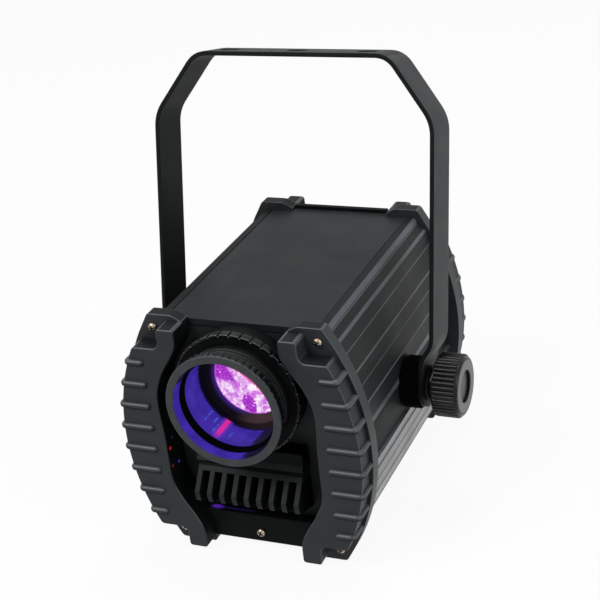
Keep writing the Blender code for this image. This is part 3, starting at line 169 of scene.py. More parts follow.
def shifted(line, distance, closed=False):
    """The line moved sideways to the left of its direction."""
    moved = []
    last = len(line) - 1
    for i, here in enumerate(line):
        point = Vector(here)
        before = (point - Vector(line[i - 1])).normalized() if i or closed else None
        after = (Vector(line[(i + 1) % len(line)]) - point).normalized() if i < last or closed else None
        before = before or after
        after = after or before
        left = Vector((-before.y - after.y, before.x + after.x)).normalized()
        moved.append(tuple(point + left * distance / left.dot(Vector((-before.y, before.x)))))
    return moved


def grown(outline, distance):
    """The closed outline moved outwards, or inwards where the distance is negative."""
    area = sum(a[0] * b[1] - b[0] * a[1] for a, b in zip(outline, outline[1:] + outline[:1]))
    return shifted(outline, -distance if area > 0 else distance, True)


def softened(points, radius, steps=4, closed=True):
    """The line with every real corner rounded; a turn of under ten degrees stays as it is."""
    rounded = []
    last = len(points) - 1
    for i, here in enumerate(points):
        point = Vector(here)
        if not closed and i in (0, last):
            rounded.append(tuple(point))
            continue
        to_before = Vector(points[i - 1]) - point
        to_after = Vector(points[(i + 1) % len(points)]) - point
        if math.pi - to_before.angle(to_after) < math.radians(10):
            rounded.append(tuple(point))
            continue
        reach = min(radius, 0.45 * to_before.length, 0.45 * to_after.length)
        start = point + to_before.normalized() * reach
        end = point + to_after.normalized() * reach
        for t in spaced(0, 1, steps + 1):
            rounded.append(tuple(start * (1 - t) ** 2 + point * 2 * t * (1 - t) + end * t**2))
    return rounded


# Meshes


def skin(shape, rings, looped=False, kind=0):
    """Joins rings of as many points each, and closes the two ends unless the last ring meets the first."""
    made = [[shape.verts.new(point) for point in ring] for ring in rings]
    faces = []
    for near, far in zip(made, made[1:] + made[:1] if looped else made[1:]):
        for i in range(len(near)):
            j = (i + 1) % len(near)
            faces.append(shape.faces.new((near[i], near[j], far[j], far[i])))
    if not looped:
        faces += [shape.faces.new(made[0]), shape.faces.new(made[-1])]
    bmesh.ops.recalc_face_normals(shape, faces=faces)
    for face in faces:
        face.material_index = kind
    return faces


def sharp_turns(outline):
    """For each point of the closed outline, whether it turns outwards enough to be part of an edge."""
    area = sum(a[0] * b[1] - b[0] * a[1] for a, b in zip(outline, outline[1:] + outline[:1]))
    turns = []
    for i, here in enumerate(outline):
        before = Vector(here) - Vector(outline[i - 1])
        after = Vector(outline[(i + 1) % len(outline)]) - Vector(here)
        turn = math.degrees(before.angle_signed(after)) * (-1 if area > 0 else 1)
        turns.append(turn >= LEAST_TURN)
    return turns


def rounding(start, end, near=0.0, far=0.0):
    """(inset, place) of each ring of a body whose two end edges can be rounded."""
    turns = spaced(0, QUARTER, ROUNDING_STEPS + 1)
    first, last = [(0, start)], [(0, end)]
    if near:
        first = [(near * (1 - math.sin(t)), start + near * (1 - math.cos(t))) for t in turns]
    if far:
        last = [(far * (1 - math.sin(t)), end - far * (1 - math.cos(t))) for t in turns[::-1]]
    return first + last


def ring_at(outline, place, axis="Y"):
    """The outline's points, at this place along the axis."""
    return [ALONG[axis] @ Vector((a, b, place)) for a, b in outline]


def prism(outline, levels, axis="Y", shape=None, kind=0, edge=None):
    """The outline swept through (inset, place) levels; its rounded edges can have their own material, a
    painted highlight.
    """
    shape = shape or bmesh.new()
    rings = [ring_at(grown(outline, -inset) if inset else outline, place, axis) for inset, place in levels]
    faces = skin(shape, rings, kind=kind)
    if edge is not None:
        sharp = sharp_turns(outline)
        count = len(outline)
        for n, (near, far) in enumerate(zip(levels, levels[1:])):
            for i in range(count):
                j = (i + 1) % count
                short = math.dist(outline[i], outline[j]) < EDGE_LENGTH
                if near[0] != far[0] or (short and sharp[i] and sharp[j]):
                    faces[n * count + i].material_index = edge
    return shape


def disc(radius, start, end, axis="Y", centre=(0.0, 0.0), count=96):
    return prism(circle(radius, count, centre), rounding(start, end), axis)


def hoop(outline, bore, levels, edge):
    """A ring with this outline and a round inside; rounded rims that face up get the edge's material, a
    painted highlight.
    """
    rings = [ring_at(grown(outline, -inset), place) for inset, place in levels]
    inside = [Vector(point).normalized() * bore for point in outline]
    rings += [ring_at(inside, place) for place in (levels[-1][1], levels[0][1])]
    shape = bmesh.new()
    for n, face in enumerate(skin(shape, rings, looped=True)):
        near, far = (levels[min(n // len(outline) + step, len(levels) - 1)] for step in (0, 1))
        if near[0] != far[0] and face.normal.z > 0.35:
            face.material_index = edge
    return shape


def turned(profile, axis="Y", count=96, shape=None, kind=0):
    """A closed (radius, along) profile spun round the axis, or an open one that starts and ends on it."""
    shape = shape or bmesh.new()
    rings = [ring_at(circle(radius, count), along, axis) for radius, along in profile]
    skin(shape, rings, profile[0][0] > AXIS, kind)
    return shape


def scratch_object(shape):
    mesh = bpy.data.meshes.new("scratch")
    shape.to_mesh(mesh)
    shape.free()
    obj = bpy.data.objects.new("scratch", mesh)
    bpy.context.scene.collection.objects.link(obj)
    return obj


def carved(shape, *cutters):
    """The shape with the cutters taken out of it."""
    objects = [scratch_object(s) for s in (shape, *cutters)]
    for cutter in objects[1:]:
        modifier = objects[0].modifiers.new("cut", "BOOLEAN")
        modifier.operation = "DIFFERENCE"
        modifier.solver = "EXACT"
        modifier.object = cutter
    bpy.context.view_layer.update()
    evaluated = objects[0].evaluated_get(bpy.context.evaluated_depsgraph_get())
    result = bmesh.new()
    result.from_mesh(evaluated.to_mesh())
    evaluated.to_mesh_clear()
    for obj in objects:
        bpy.data.objects.remove(obj, do_unlink=True)
    return result


def piece(node, shape, place, slot, *surfaces):
    """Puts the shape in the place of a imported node, on that node's body."""
    mesh = bpy.data.meshes.new(f"{node}_form")
    shape.transform(METRES @ place)
    shape.to_mesh(mesh)
    shape.free()
    for surface in surfaces:
        mesh.materials.append(surface.material)
    mesh.shade_smooth()
    mesh.set_sharp_from_angle(angle=math.radians(SHARP_ANGLE))
    obj = bpy.data.objects.new(f"{node}_form", mesh)
    bpy.context.scene.collection.objects.link(obj)
    obj.modifiers.new("Weighted normals", "WEIGHTED_NORMAL").keep_sharp = True
    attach(obj, frame["nodes"][node]["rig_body"])
    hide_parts(node)


# Materials


def linear(*display):
    """A colour given as display values from 0 to 255."""
    return tuple(((v / 255 + 0.055) / 1.055) ** 2.4 if v > 10 else v / 255 / 12.92 for v in display)


class Nodes:
    """A node tree, with short ways to add to it."""

    def __init__(self, holder):
        holder.use_nodes = True
        self.tree = holder.node_tree

    def node(self, kind, **settings):
        made = self.tree.nodes.new(kind)
        for key, value in settings.items():
            setattr(made, key, value)
        return made

    def feed(self, socket, value):
        if isinstance(value, bpy.types.NodeSocket):
            self.tree.links.new(value, socket)
        else:
            socket.default_value = value

    def math(self, operation, *values):
        made = self.node("ShaderNodeMath", operation=operation)
        for socket, value in zip(made.inputs, values):
            self.feed(socket, value)
        return made.outputs[0]

    def mix(self, share, first, second):
        made = self.node("ShaderNodeMix", data_type="RGBA")
        self.feed(made.inputs[0], share)
        for socket, colour in ((made.inputs[6], first), (made.inputs[7], second)):
            self.feed(socket, colour if isinstance(colour, bpy.types.NodeSocket) else (*colour, 1))
        return made.outputs[2]

    def seen_share(self):
        """1 for the rays that see the background: from the camera, in reflections and through glass."""
        path = self.node("ShaderNodeLightPath").outputs
        seen = self.math("MAXIMUM", path["Is Camera Ray"], path["Is Glossy Ray"])
        return self.math("MAXIMUM", seen, path["Is Transmission Ray"])


class Surface(Nodes):
    """One material's nodes, in object coordinates, which are the part's own metres."""

    def __init__(self, name, roughness=0.4, metallic=0.0, specular=0.5, coat=0.0):
        self.material = bpy.data.materials.new(name)
        super().__init__(self.material)
        self.shader = self.tree.nodes["Principled BSDF"]
        self.set("Roughness", roughness)
        self.set("Metallic", metallic)
        self.set("Specular IOR Level", specular)
        self.set("Coat Weight", coat)
        self.place = self.node("ShaderNodeTexCoord").outputs["Object"]

    def set(self, socket, value):
        self.shader.inputs[socket].default_value = value

    def to(self, socket, value):
        self.tree.links.new(value, self.shader.inputs[socket])

    def noise(self, size, detail=2.0, stretch=(1, 1, 1), roughness=0.5):
        """Noise whose grains are about this many millimetres across."""
        scaled = self.node("ShaderNodeMapping")
        self.feed(scaled.inputs["Vector"], self.place)
        scaled.inputs["Scale"].default_value = [1000 / size / s for s in stretch]
        made = self.node("ShaderNodeTexNoise")
        self.feed(made.inputs["Vector"], scaled.outputs[0])
        made.inputs["Scale"].default_value = 1.0
        made.inputs["Detail"].default_value = detail
        made.inputs["Roughness"].default_value = roughness
        return made.outputs["Fac"]

    def band(self, value, low, high, start=0.0, end=1.0):
        """The value taken from one range to another, smoothly, and held at its ends."""
        made = self.node("ShaderNodeMapRange", interpolation_type="SMOOTHSTEP")
        for socket, given in zip(made.inputs, (value, low, high, start, end)):
            self.feed(socket, given)
        return made.outputs["Result"]

    def bump(self, height, depth):
        """Relief of at most this many millimetres."""
        made = self.node("ShaderNodeBump")
        made.inputs["Strength"].default_value = 1.0
        made.inputs["Distance"].default_value = depth / 1000
        self.feed(made.inputs["Height"], height)
        self.to("Normal", made.outputs[0])

    def glow(self, colour, strength=1.0):
        self.to("Emission Color", colour)
        self.set("Emission Strength", strength)

    def axes(self, height=0.0):
        """Millimetres across, along and up from the body's frame, or from this height above it."""
        parts = self.node("ShaderNodeSeparateXYZ")
        self.feed(parts.inputs[0], self.place)
        x, y, z = parts.outputs
        across = self.math("MULTIPLY", x, 1000)
        along = self.math("MULTIPLY_ADD", y, 1000, -BODY_Y)
        return across, along, self.math("MULTIPLY_ADD", z, 1000, -BODY_Z - height)

    def length(self, across, up):
        return self.math("SQRT", self.math("MULTIPLY_ADD", across, across, self.math("MULTIPLY", up, up)))


class LensSurface(Surface):
    """A material that is drawn round the lens axis, in millimetres."""

    def __init__(self, name, **extra):
        super().__init__(name, **extra)
        self.across, self.along, self.up = self.axes(LENS_Z)
        self.reach = self.length(self.across, self.up)

    def heading(self, degrees):
        """How squarely a point lies in this direction from the lens axis: 1 where it lies exactly there."""
        a = math.radians(degrees)
        share = self.math("MULTIPLY", self.up, math.sin(a))
        share = self.math("MULTIPLY_ADD", self.across, math.cos(a), share)
        return self.math("DIVIDE", share, self.reach)


def grained(name, dark, light, roughness, grain=0.55, depth=0.03, mottle=14.0, **extra):
    """Moulded or sprayed surface: a fine grain, slightly mottled in colour and in gloss."""
    s = Surface(name, **extra)
    fine = s.noise(grain, 3.0)
    cloud = s.noise(mottle, 3.0)
    mixed = s.math("ADD", s.math("MULTIPLY", fine, 0.45), s.math("MULTIPLY", cloud, 0.55))
    s.to("Base Color", s.mix(s.band(mixed, 0.36, 0.64), dark, light))
    s.to("Roughness", s.band(mixed, 0.3, 0.7, *roughness))
    s.bump(fine, depth)
    return s


def striped(name, dark, light, roughness, **extra):
    """Extruded metal with a fine grain and long, faint draw lines."""
    s = Surface(name, **extra)
    lines = s.noise(0.9, 2.0, (1, 120, 1))
    fine = s.noise(0.7, 3.0)
    cloud = s.noise(30.0, 3.0)
    mixed = s.math("ADD", s.math("MULTIPLY", lines, 0.3), s.math("MULTIPLY", cloud, 0.7))
    grain = s.math("ADD", s.math("MULTIPLY", lines, 0.15), s.math("MULTIPLY", fine, 0.85))
    speck = s.noise(1.1, 2.0)
    tone = s.math("MULTIPLY_ADD", speck, 0.5, s.math("MULTIPLY", s.math("ADD", grain, cloud), 0.25))
    s.to("Base Color", s.mix(s.band(tone, 0.42, 0.58), dark, light))
    s.to("Roughness", s.band(mixed, 0.3, 0.7, *roughness))
    s.bump(grain, 0.035)
    return s


def brushed(name, colour, worn, roughness):
    """Plated or bare metal with fine scratches and dull patches."""
    s = Surface(name, metallic=1.0)
    patch = s.noise(2.6, 3.0)
    s.to("Base Color", s.mix(s.band(patch, 0.38, 0.66), colour, worn))
    s.to("Roughness", s.band(patch, 0.3, 0.7, *roughness))
    s.bump(s.noise(0.35, 3.0), 0.012)
    return s


def painted_glints(s, *spots):
    """Small painted glints of the lens's coloured light, glowing; each with its place and reach in the
    body's frame, and its colour.
    """
    axes = s.axes()
    colour = (0.0, 0.0, 0.0)
    for place, size, light in spots:
        squares = 0.0
        for value, middle, half in zip(axes, place, size):
            share = s.math("DIVIDE", s.math("SUBTRACT", value, middle), half)
            squares = s.math("MULTIPLY_ADD", share, share, squares)
        colour = s.mix(s.band(squares, 1.0, 0.0), colour, linear(*light))
    s.glow(colour)


cap_plastic = grained(
    "cap_plastic", (0.0132, 0.0162, 0.0188), (0.0195, 0.0232, 0.0266), (0.46, 0.58), specular=0.22
)
# Lighter, glossier copy of the cap plastic: painted highlight on up-facing rounded edges, rib crests and
# ring rims.
cap_edge_highlight = grained(
    "cap_edge_highlight", (0.040, 0.045, 0.050), (0.060, 0.066, 0.072), (0.34, 0.46), depth=0.02, specular=0.35
)
# Lighter copy of the cap plastic: painted light on the flange's outward-facing sides.
cap_side_lit = grained("cap_side_lit", (0.021, 0.0245, 0.0265), (0.030, 0.0345, 0.037), (0.42, 0.54), specular=0.28)
# Darker copy of the cap plastic: painted shade on faces that look up.
cap_top_shade = grained("cap_top_shade", (0.0045, 0.0056, 0.0064), (0.0075, 0.0089, 0.0100), (0.5, 0.62), specular=0.11)
# Darker copy of the cap plastic: painted shade on the vent hood and fins deep in the recess.
fin_shaded_plastic = grained(
    "fin_shaded_plastic", (0.0065, 0.0078, 0.0085), (0.010, 0.0118, 0.0128), (0.48, 0.6), specular=0.13
)
# Painted shade on the recess floor, less dark than on its walls.
recess_floor_shade = grained(
    "recess_floor_shade", (0.0110, 0.0130, 0.0138), (0.0160, 0.0188, 0.0200), (0.5, 0.62), specular=0.15
)
# Near black: painted shade on the recess plate, skirt, inner walls, rib undersides, hood gaps and focus
# sleeve.
recess_painted_shade = grained(
    "recess_painted_shade", (0.0022, 0.003, 0.003), (0.004, 0.0055, 0.0055), (0.52, 0.64), specular=0.05
)
# Painted glints of the beam's coloured light on the recess walls and on the sill.
painted_glints(
    recess_painted_shade,
    ((-49.5, -8.4, -8.0), (3, 1.5, 1.5), (170, 34, 32)),
    ((-49.5, -8.8, -20.3), (3, 1.3, 1.5), (110, 22, 22)),
    ((-49.5, -1.0, -21.8), (3, 1.5, 1.0), (64, 48, 196)),
    ((-49.5, -4.4, -2.5), (3, 1.2, 0.9), (40, 34, 96)),
    ((-29.5, 3.5, SILL), (5.5, 2.5, 1.2), (74, 28, 150)),
    ((-16.0, 3.5, SILL), (17, 1.2, 1.0), (24, 11, 54)),
)
tube_finish = striped(
    "anodised_tube", (0.0080, 0.0102, 0.0112), (0.0140, 0.0174, 0.0190), (0.46, 0.58), specular=0.13
)
tube_side = striped(
    "anodised_side", (0.008, 0.0098, 0.0100), (0.0145, 0.0172, 0.0175), (0.42, 0.54), specular=0.16
)
# Lighter, glossier copy of the tube's finish: painted highlight on the up-facing lips.
tube_edge_highlight = striped(
    "anodised_edge_highlight", (0.060, 0.064, 0.076), (0.084, 0.089, 0.104), (0.36, 0.48), specular=0.38
)
tube_shade = striped(
    "anodised_shade", (0.006, 0.0072, 0.0076), (0.010, 0.0118, 0.0125), (0.5, 0.6), specular=0.09
)
# Lighter, glossier copy of the tube's finish: painted reflection of the pale floor on the low planks.
tube_low_reflection = striped(
    "anodised_low_reflection", (0.018, 0.021, 0.0225), (0.028, 0.032, 0.034), (0.22, 0.34), specular=0.55
)
spray = {"grain": 0.5, "depth": 0.035, "mottle": 18.0}
powder = grained(
    "powder_coat", (0.009, 0.011, 0.0125), (0.014, 0.0165, 0.0185), (0.46, 0.56), specular=0.20, **spray
)
# Darker copy of the powder coat: painted shade on the yoke's inner faces and narrow front edges.
powder_inner_shade = grained(
    "powder_coat_inner_shade", (0.003, 0.0042, 0.0045), (0.0055, 0.007, 0.0075), (0.5, 0.6),
    specular=0.08, **spray,
)
# Darker copy of the powder coat: painted shade on the top of the yoke's cross bar.
powder_top_shade = grained(
    "powder_coat_top_shade", (0.005, 0.0063, 0.007), (0.008, 0.0098, 0.0108), (0.5, 0.6), specular=0.12, **spray
)
gloss = grained(
    "gloss_black", (0.0025, 0.0028, 0.0032), (0.005, 0.0055, 0.006), (0.22, 0.34),
    grain=0.8, depth=0.003, mottle=6.0, specular=0.20,
)
satin_face = grained(
    "satin_face", (0.10, 0.108, 0.118), (0.135, 0.145, 0.158), (0.40, 0.52),
    grain=0.35, depth=0.015, mottle=8.0, specular=0.4,
)
ring_face = grained(
    "ring_face", (0.023, 0.026, 0.029), (0.034, 0.0385, 0.043), (0.42, 0.54),
    grain=0.35, depth=0.012, mottle=8.0, specular=0.25,
)
plain_black = grained(
    "black_plastic", (0.0035, 0.004, 0.0043), (0.0065, 0.007, 0.0075), (0.38, 0.5),
    grain=0.5, depth=0.02, mottle=9.0, specular=0.18,
)
# Black rubber, made darker than rubber is: partly painted shade on the pivot spacers and the baffle.
rubber = grained(
    "black_rubber", (0.0008, 0.0009, 0.0009), (0.0016, 0.0018, 0.0018), (0.7, 0.85),
    grain=0.4, mottle=5.0, specular=0.015,
)
brass = brushed("screw_brass", (0.40, 0.34, 0.255), (0.25, 0.205, 0.15), (0.26, 0.42))
steel = brushed("steel", (0.56, 0.57, 0.58), (0.42, 0.43, 0.44), (0.22, 0.40))
aluminium = brushed("aluminium", (0.72, 0.73, 0.74), (0.58, 0.59, 0.60), (0.28, 0.46))


def barrel_painted_glow():
    """Inside of the barrel: glossy black with a painted violet glow on the side that the beam grazes, and
    painted streaks and dashes of reflected light.
    """
    s = LensSurface("barrel_inside", roughness=0.35, specular=0.08)
    ragged = s.math("MULTIPLY_ADD", s.noise(2.4, 4.0), 0.16, -0.08)
    lit = s.band(s.math("ADD", s.heading(218.5), ragged), 0.36, 0.46)
    lit = s.math("MULTIPLY", lit, s.band(s.math("MULTIPLY_ADD", ragged, 6.0, s.along), 6.4, 5.2))
    violet = s.mix(s.band(s.noise(9.0, 2.0), 0.35, 0.65), linear(48, 33, 142), linear(62, 40, 162))
    navy = s.mix(s.band(s.heading(215), -0.3, 0.4), (0.0012, 0.0012, 0.004), (0.006, 0.005, 0.03))
    colour = s.mix(lit, navy, violet)
    # Painted reflections of the beam: a magenta streak with its halo, and blue dashes.
    streak_side = s.heading(-119.5)
    streak = s.math("MULTIPLY", s.band(streak_side, 0.9980, 0.9996), s.band(s.along, -14, -4))
    halo = s.math("MULTIPLY", s.band(streak_side, 0.990, 0.9996), s.band(s.along, -16, -6))
    colour = s.mix(s.math("MULTIPLY", halo, 0.55), colour, linear(120, 50, 200))
    colour = s.mix(streak, colour, linear(214, 40, 150))
    broken = s.band(s.noise(0.9, 1.0, (1, 3, 1)), 0.48, 0.56)
    dashes = ((-140.5, -7.5, 5.8), (-126.0, -10.0, 1.6), (-131.0, -3.0, 4.5), (-107.0, -7.5, 0.8))
    for degrees, front, back in dashes:
        line = s.band(s.heading(degrees), 0.99990, 0.99998)
        ends = s.math("MULTIPLY", s.band(s.along, front, front + 1.5), s.band(s.along, back, back - 1.5))
        dash = s.math("MULTIPLY", s.math("MULTIPLY", line, ends), broken)
        colour = s.mix(dash, colour, linear(62, 110, 225))
    s.to("Base Color", s.mix(s.noise(3.0), (0.003, 0.003, 0.005), (0.006, 0.005, 0.012)))
    s.glow(colour)
    return s


def beam_disc():
    """The lit lens: speckled pink and white light with purple patches and a painted magenta fringe."""
    s = LensSurface("front_lens", roughness=0.12, specular=0.5, coat=0.4)
    speck = s.noise(1.5, 5.0, roughness=0.62)
    cloud = s.noise(5.5, 4.0, roughness=0.55)
    mixed = s.math("MULTIPLY_ADD", speck, 0.35, s.math("MULTIPLY", cloud, 0.65))
    colour = s.mix(s.band(mixed, 0.42, 0.60), linear(206, 104, 222), linear(252, 240, 252))
    ragged = s.math("MULTIPLY_ADD", speck, 6.0, -3.0)
    left = s.math("MULTIPLY_ADD", s.across, -0.85, s.math("MULTIPLY_ADD", s.up, -0.526, -6.7))
    wedge = s.math("MULTIPLY", s.band(left, -0.6, 0.6), s.band(s.math("ADD", s.up, ragged), -2.6, 0.4))
    patch = s.length(
        s.math("MULTIPLY_ADD", s.across, 0.2326, 0.302), s.math("MULTIPLY_ADD", s.up, 0.135, 2.13)
    )
    patch = s.band(s.math("MULTIPLY_ADD", ragged, 0.10, patch), 1.12, 0.92)
    purple = s.mix(s.band(speck, 0.42, 0.62), linear(150, 34, 186), linear(196, 74, 212))
    colour = s.mix(s.math("MAXIMUM", wedge, patch), colour, purple)
    # Painted halo: a magenta arc where the front ring's inner edge cuts off the disc as seen from the
    # camera's side.
    fringe = s.length(s.math("ADD", s.across, 20.5), s.math("ADD", s.up, 23.8))
    colour = s.mix(s.band(fringe, 32.9, 34.3), colour, linear(226, 36, 140))
    colour = s.mix(s.band(s.reach, 22.4, 23.0), colour, linear(196, 84, 222))
    dots = s.node("ShaderNodeTexVoronoi")
    s.feed(dots.inputs["Vector"], s.place)
    dots.inputs["Scale"].default_value = 420
    spark = s.math("MULTIPLY", s.band(dots.outputs["Distance"], 0.24, 0.14), s.band(cloud, 0.44, 0.56))
    colour = s.mix(spark, colour, (1.0, 0.95, 1.0))
    s.to("Base Color", s.mix(speck, (0.02, 0.01, 0.03), (0.05, 0.02, 0.06)))
    s.glow(colour)
    return s


def lens_seat():
    """The dark cone round the lens, with a painted warm glow low on its right and a painted violet glow on
    its left, from the beam's light.
    """
    s = LensSurface("lens_seat", roughness=0.45, specular=0.08)
    warm = s.math("MULTIPLY", s.band(s.heading(-62), 0.55, 0.98), s.band(s.reach, 27.6, 26.6, 0.25, 1.0))
    cool = s.math("MULTIPLY", s.band(s.heading(205), 0.2, 0.9), s.band(s.reach, 25.6, 23.2))
    colour = s.mix(cool, (0.002, 0.0015, 0.003), linear(50, 30, 112))
    s.to("Base Color", s.mix(s.noise(3.0, 3.0), (0.002, 0.0016, 0.0026), (0.004, 0.003, 0.005)))
    s.glow(s.mix(warm, colour, linear(62, 44, 46)))
    return s


def clear_glass():
    s = Surface("condenser_glass", roughness=0.03, specular=0.5)
    s.set("Transmission Weight", 0.95)
    s.to("Base Color", s.mix(s.noise(6.0, 3.0), (0.86, 0.90, 0.94), (1.0, 1.0, 1.0)))
    s.bump(s.noise(1.2, 2.0), 0.004)
    return s


def board_finish():
    s = Surface("circuit_board", roughness=0.42)
    tracks = s.node("ShaderNodeTexBrick")
    s.feed(tracks.inputs["Vector"], s.place)
    tracks.inputs["Scale"].default_value = 420
    tracks.inputs["Mortar Size"].default_value = 0.06
    green = s.mix(s.noise(4.0, 3.0), (0.012, 0.09, 0.035), (0.02, 0.14, 0.06))
    s.to("Base Color", s.mix(tracks.outputs["Fac"], green, (0.10, 0.24, 0.08)))
    s.bump(tracks.outputs["Fac"], 0.05)
    return s


def window_finish():
    s = Surface("display_window", roughness=0.10, specular=0.25, coat=0.1)
    lines = s.noise(0.6, 1.0, (1, 1, 14))
    s.to("Base Color", s.mix(s.band(lines, 0.4, 0.6), (0.020, 0.003, 0.003), (0.035, 0.005, 0.005)))
    s.bump(s.noise(9.0, 2.0), 0.01)
    return s


def phosphor():
    s = Surface("led_yellow", roughness=0.35)
    colour = s.mix(s.noise(0.6, 4.0), (0.72, 0.52, 0.10), (0.90, 0.74, 0.28))
    s.to("Base Color", colour)
    s.glow(colour, 0.6)
    return s


# End caps


# Cap face kinds: plain plastic, painted shade on walls, painted highlight on edges, painted light on
# outward sides, painted shade on tops and on the recess floor, and the bridge in the tube's finish.
CAP_FINISHES_AND_PAINTED_LIGHT = (cap_plastic, recess_painted_shade, cap_edge_highlight, cap_side_lit, cap_top_shade, recess_floor_shade, tube_finish)
PLAIN, WALL, EDGE, SIDE, TOP, FLOOR, BRIDGE = range(len(CAP_FINISHES_AND_PAINTED_LIGHT))
bumper_edge = softened(INNER_EDGE, 9, 5, False)


def recess_side(spread):
    """The recess's right edge, from its top to its sill."""
    kept = [(x + spread, z) for x, z in bumper_edge if z > SILL + 1.5]
    pairs = zip(bumper_edge, bumper_edge[1:])
    (high_x, high_z), (low_x, low_z) = next(pair for pair in pairs if pair[1][1] <= SILL)
    share = (high_z - SILL) / (high_z - low_z)
    return kept + [(high_x + (low_x - high_x) * share + spread, SILL)]


def flange_outline():
    """The right-hand part of the flange; the skirt between the feet closes the recess below."""
    slot = [(40.2, FLANGE_HEIGHT), (32.95, 75.2), *recess_side(0.15)[1:], (SKIRT_HALF_WIDTH, SILL)]
    outer = [(FLANGE_X, FLANGE_HEIGHT), *side_arc(FLANGE_CURVE, 66, 29), (FLANGE_X, -FLANGE_HEIGHT)]
    foot = [(FOOT_X, -FLANGE_HEIGHT), (FOOT_X, SKIRT_BOTTOM), (SKIRT_HALF_WIDTH, SKIRT_BOTTOM)]
    return softened(slot[::-1] + outer + foot, 1.8)


def bumper_outline():
    fillet = circle(4.5, 11, (48.9, 66.8), math.pi, QUARTER)
    upper = [(BUMPER_X, BUMPER_HEIGHT), *fillet]
    lower = [(x, -z) for x, z in upper[::-1]]
    return softened(upper + side_arc(BUMPER_CURVE, 62.3, 31) + lower + bumper_edge[::-1], 2.2)


def rib(shape, side, z, height):
    """A half-round bar across the bumper's face that wraps round its outer corner."""
    width, dome, bend = 4.2, 2.0, 1.6
    corner = side_x(BUMPER_CURVE, z)
    front = -BUMPER_DEPTH
    path = []
    for t in spaced(0.2, QUARTER, 6):
        path.append((FLANGE_X + dome * (1 - math.cos(t)), front, 0, -1, math.sin(t)))
    path.append((corner - bend, front, 0, -1, 1))
    for t in spaced(0.15, 1, 6):
        across, back = math.sin(t * QUARTER), math.cos(t * QUARTER)
        path.append((corner - bend + bend * across, bend + front - bend * back, across, -back, 1))
    path.append((corner, 1.0, 1, 0, 1))
    half_round = [(-0.5 * math.cos(t), math.sin(t)) for t in spaced(0, math.pi, 11)]
    rings = []
    for x, y, out_x, out_y, size in path:
        ring = []
        for up, out in [(-0.5, -0.3), *half_round, (0.5, -0.3)]:
            lift = height * out * (size if out > 0 else 1)
            ring.append(Vector((side * (x + out_x * lift), y + out_y * lift, z + width * up * size)))
        rings.append(ring)
    # Upper faces get a painted highlight, lower faces painted shade.
    for face in skin(shape, rings):
        if face.normal.z > 0.15:
            face.material_index = EDGE
        elif face.normal.z < -0.3:
            face.material_index = WALL


def bore_outline():
    quarter = [(49, 69.5), (49, 66)]
    return mirrored(quarter + side_arc(BORE_CURVE, 66, 24) + [(x, -z) for x, z in quarter[::-1]])


def cap_shading_kind(kind, face):
    """The material of a cap's face: the one that it was drawn with, changed where it lies or faces so:
    painted highlight only on up-facing edges, painted shade on recess walls, tops and floor, painted light
    on outward sides.
    """
    centre = face.calc_center_median()
    outward = face.normal.x * math.copysign(1, centre.x)
    if kind == EDGE and face.normal.z < 0.25 and outward < 0.4:
        kind = PLAIN
    if kind == PLAIN and outward < -0.4 and 0.6 - BUMPER_DEPTH < centre.y < BUMPER_ROOT:
        kind = WALL
    if kind == PLAIN and outward > 0.4 and BUMPER_ROOT < centre.y < FLANGE_DEPTH:
        kind = SIDE
    if kind == PLAIN and face.normal.z > 0.75:
        kind = TOP
    if kind == WALL and face.normal.y < -0.8 and abs(centre.y - RECESS_FLOOR) < 0.1:
        kind = FLOOR
    return kind


def end_cap(node, place, *openings):
    """A plate with openings, a flange, two ribbed bumpers and a skirt; the rear one bridges its recess."""
    plate = carved(prism(grown(bore_outline(), -0.3), rounding(RECESS_FLOOR, SPIGOT)), *openings)
    # The plate, the skirt and the rear cap's rim take the painted shade of the recess.
    for face in plate.faces:
        face.material_index = WALL
    skirt = rectangle(SKIRT_HALF_WIDTH, (SILL - SKIRT_BOTTOM) / 2, (0, (SILL + SKIRT_BOTTOM) / 2))
    prism(skirt, rounding(0, FLANGE_DEPTH, 0.6, 0.3), shape=plate, kind=WALL)
    if node == "rear_cap":
        half_width, half_height = 32.9, 2.2
        prism(rectangle(half_width, 3.4, (0, 72.5)), rounding(0.7, 4.4, 0.4, 0.2), shape=plate, kind=WALL)
        lid = rectangle(half_width, half_height, (0, TUBE_TOP - half_height))
        prism(lid, rounding(4.2, FLANGE_DEPTH + 0.4), shape=plate, kind=BRIDGE)
    flange, bumper = flange_outline(), bumper_outline()
    for side in (1, -1):
        # Rounded edges get a painted highlight; the walls behind the bumpers into the recess are painted
        # shade.
        outline = [(side * x, z) for x, z in flange]
        prism(outline, rounding(0, FLANGE_DEPTH, 0.5, 0.3), shape=plate, edge=EDGE)
        outline = [(side * x, z) for x, z in bumper]
        prism(outline, rounding(-BUMPER_DEPTH, BUMPER_ROOT, 0.7), shape=plate, edge=EDGE)
        prism(grown(outline, -0.02), rounding(BUMPER_ROOT, RECESS_FLOOR + 0.3), shape=plate, kind=WALL)
        for i in range(RIB_COUNT):
            rib(plate, side, (i - (RIB_COUNT - 1) / 2) * RIB_PITCH, RIB_HEIGHT[node])
    plate.normal_update()
    for face in plate.faces:
        face.material_index = cap_shading_kind(face.material_index, face)
    piece(node, plate, place, "cap_plastic", *CAP_FINISHES_AND_PAINTED_LIGHT)


lens_hole = disc(35.2, 0, THROUGH, centre=(0, LENS_Z))
vent_hole = prism(rectangle(31, 9.5, (0, -36)), rounding(0, THROUGH))
end_cap("front_cap", BODY, lens_hole, vent_hole)
panel_side = [(32.8, PANEL_TOP)] + [p for p in recess_side(0)[1:] if p[1] < PANEL_TOP]
end_cap("rear_cap", REAR, prism(grown(mirrored(panel_side), -6), rounding(0, THROUGH)))


# Screws


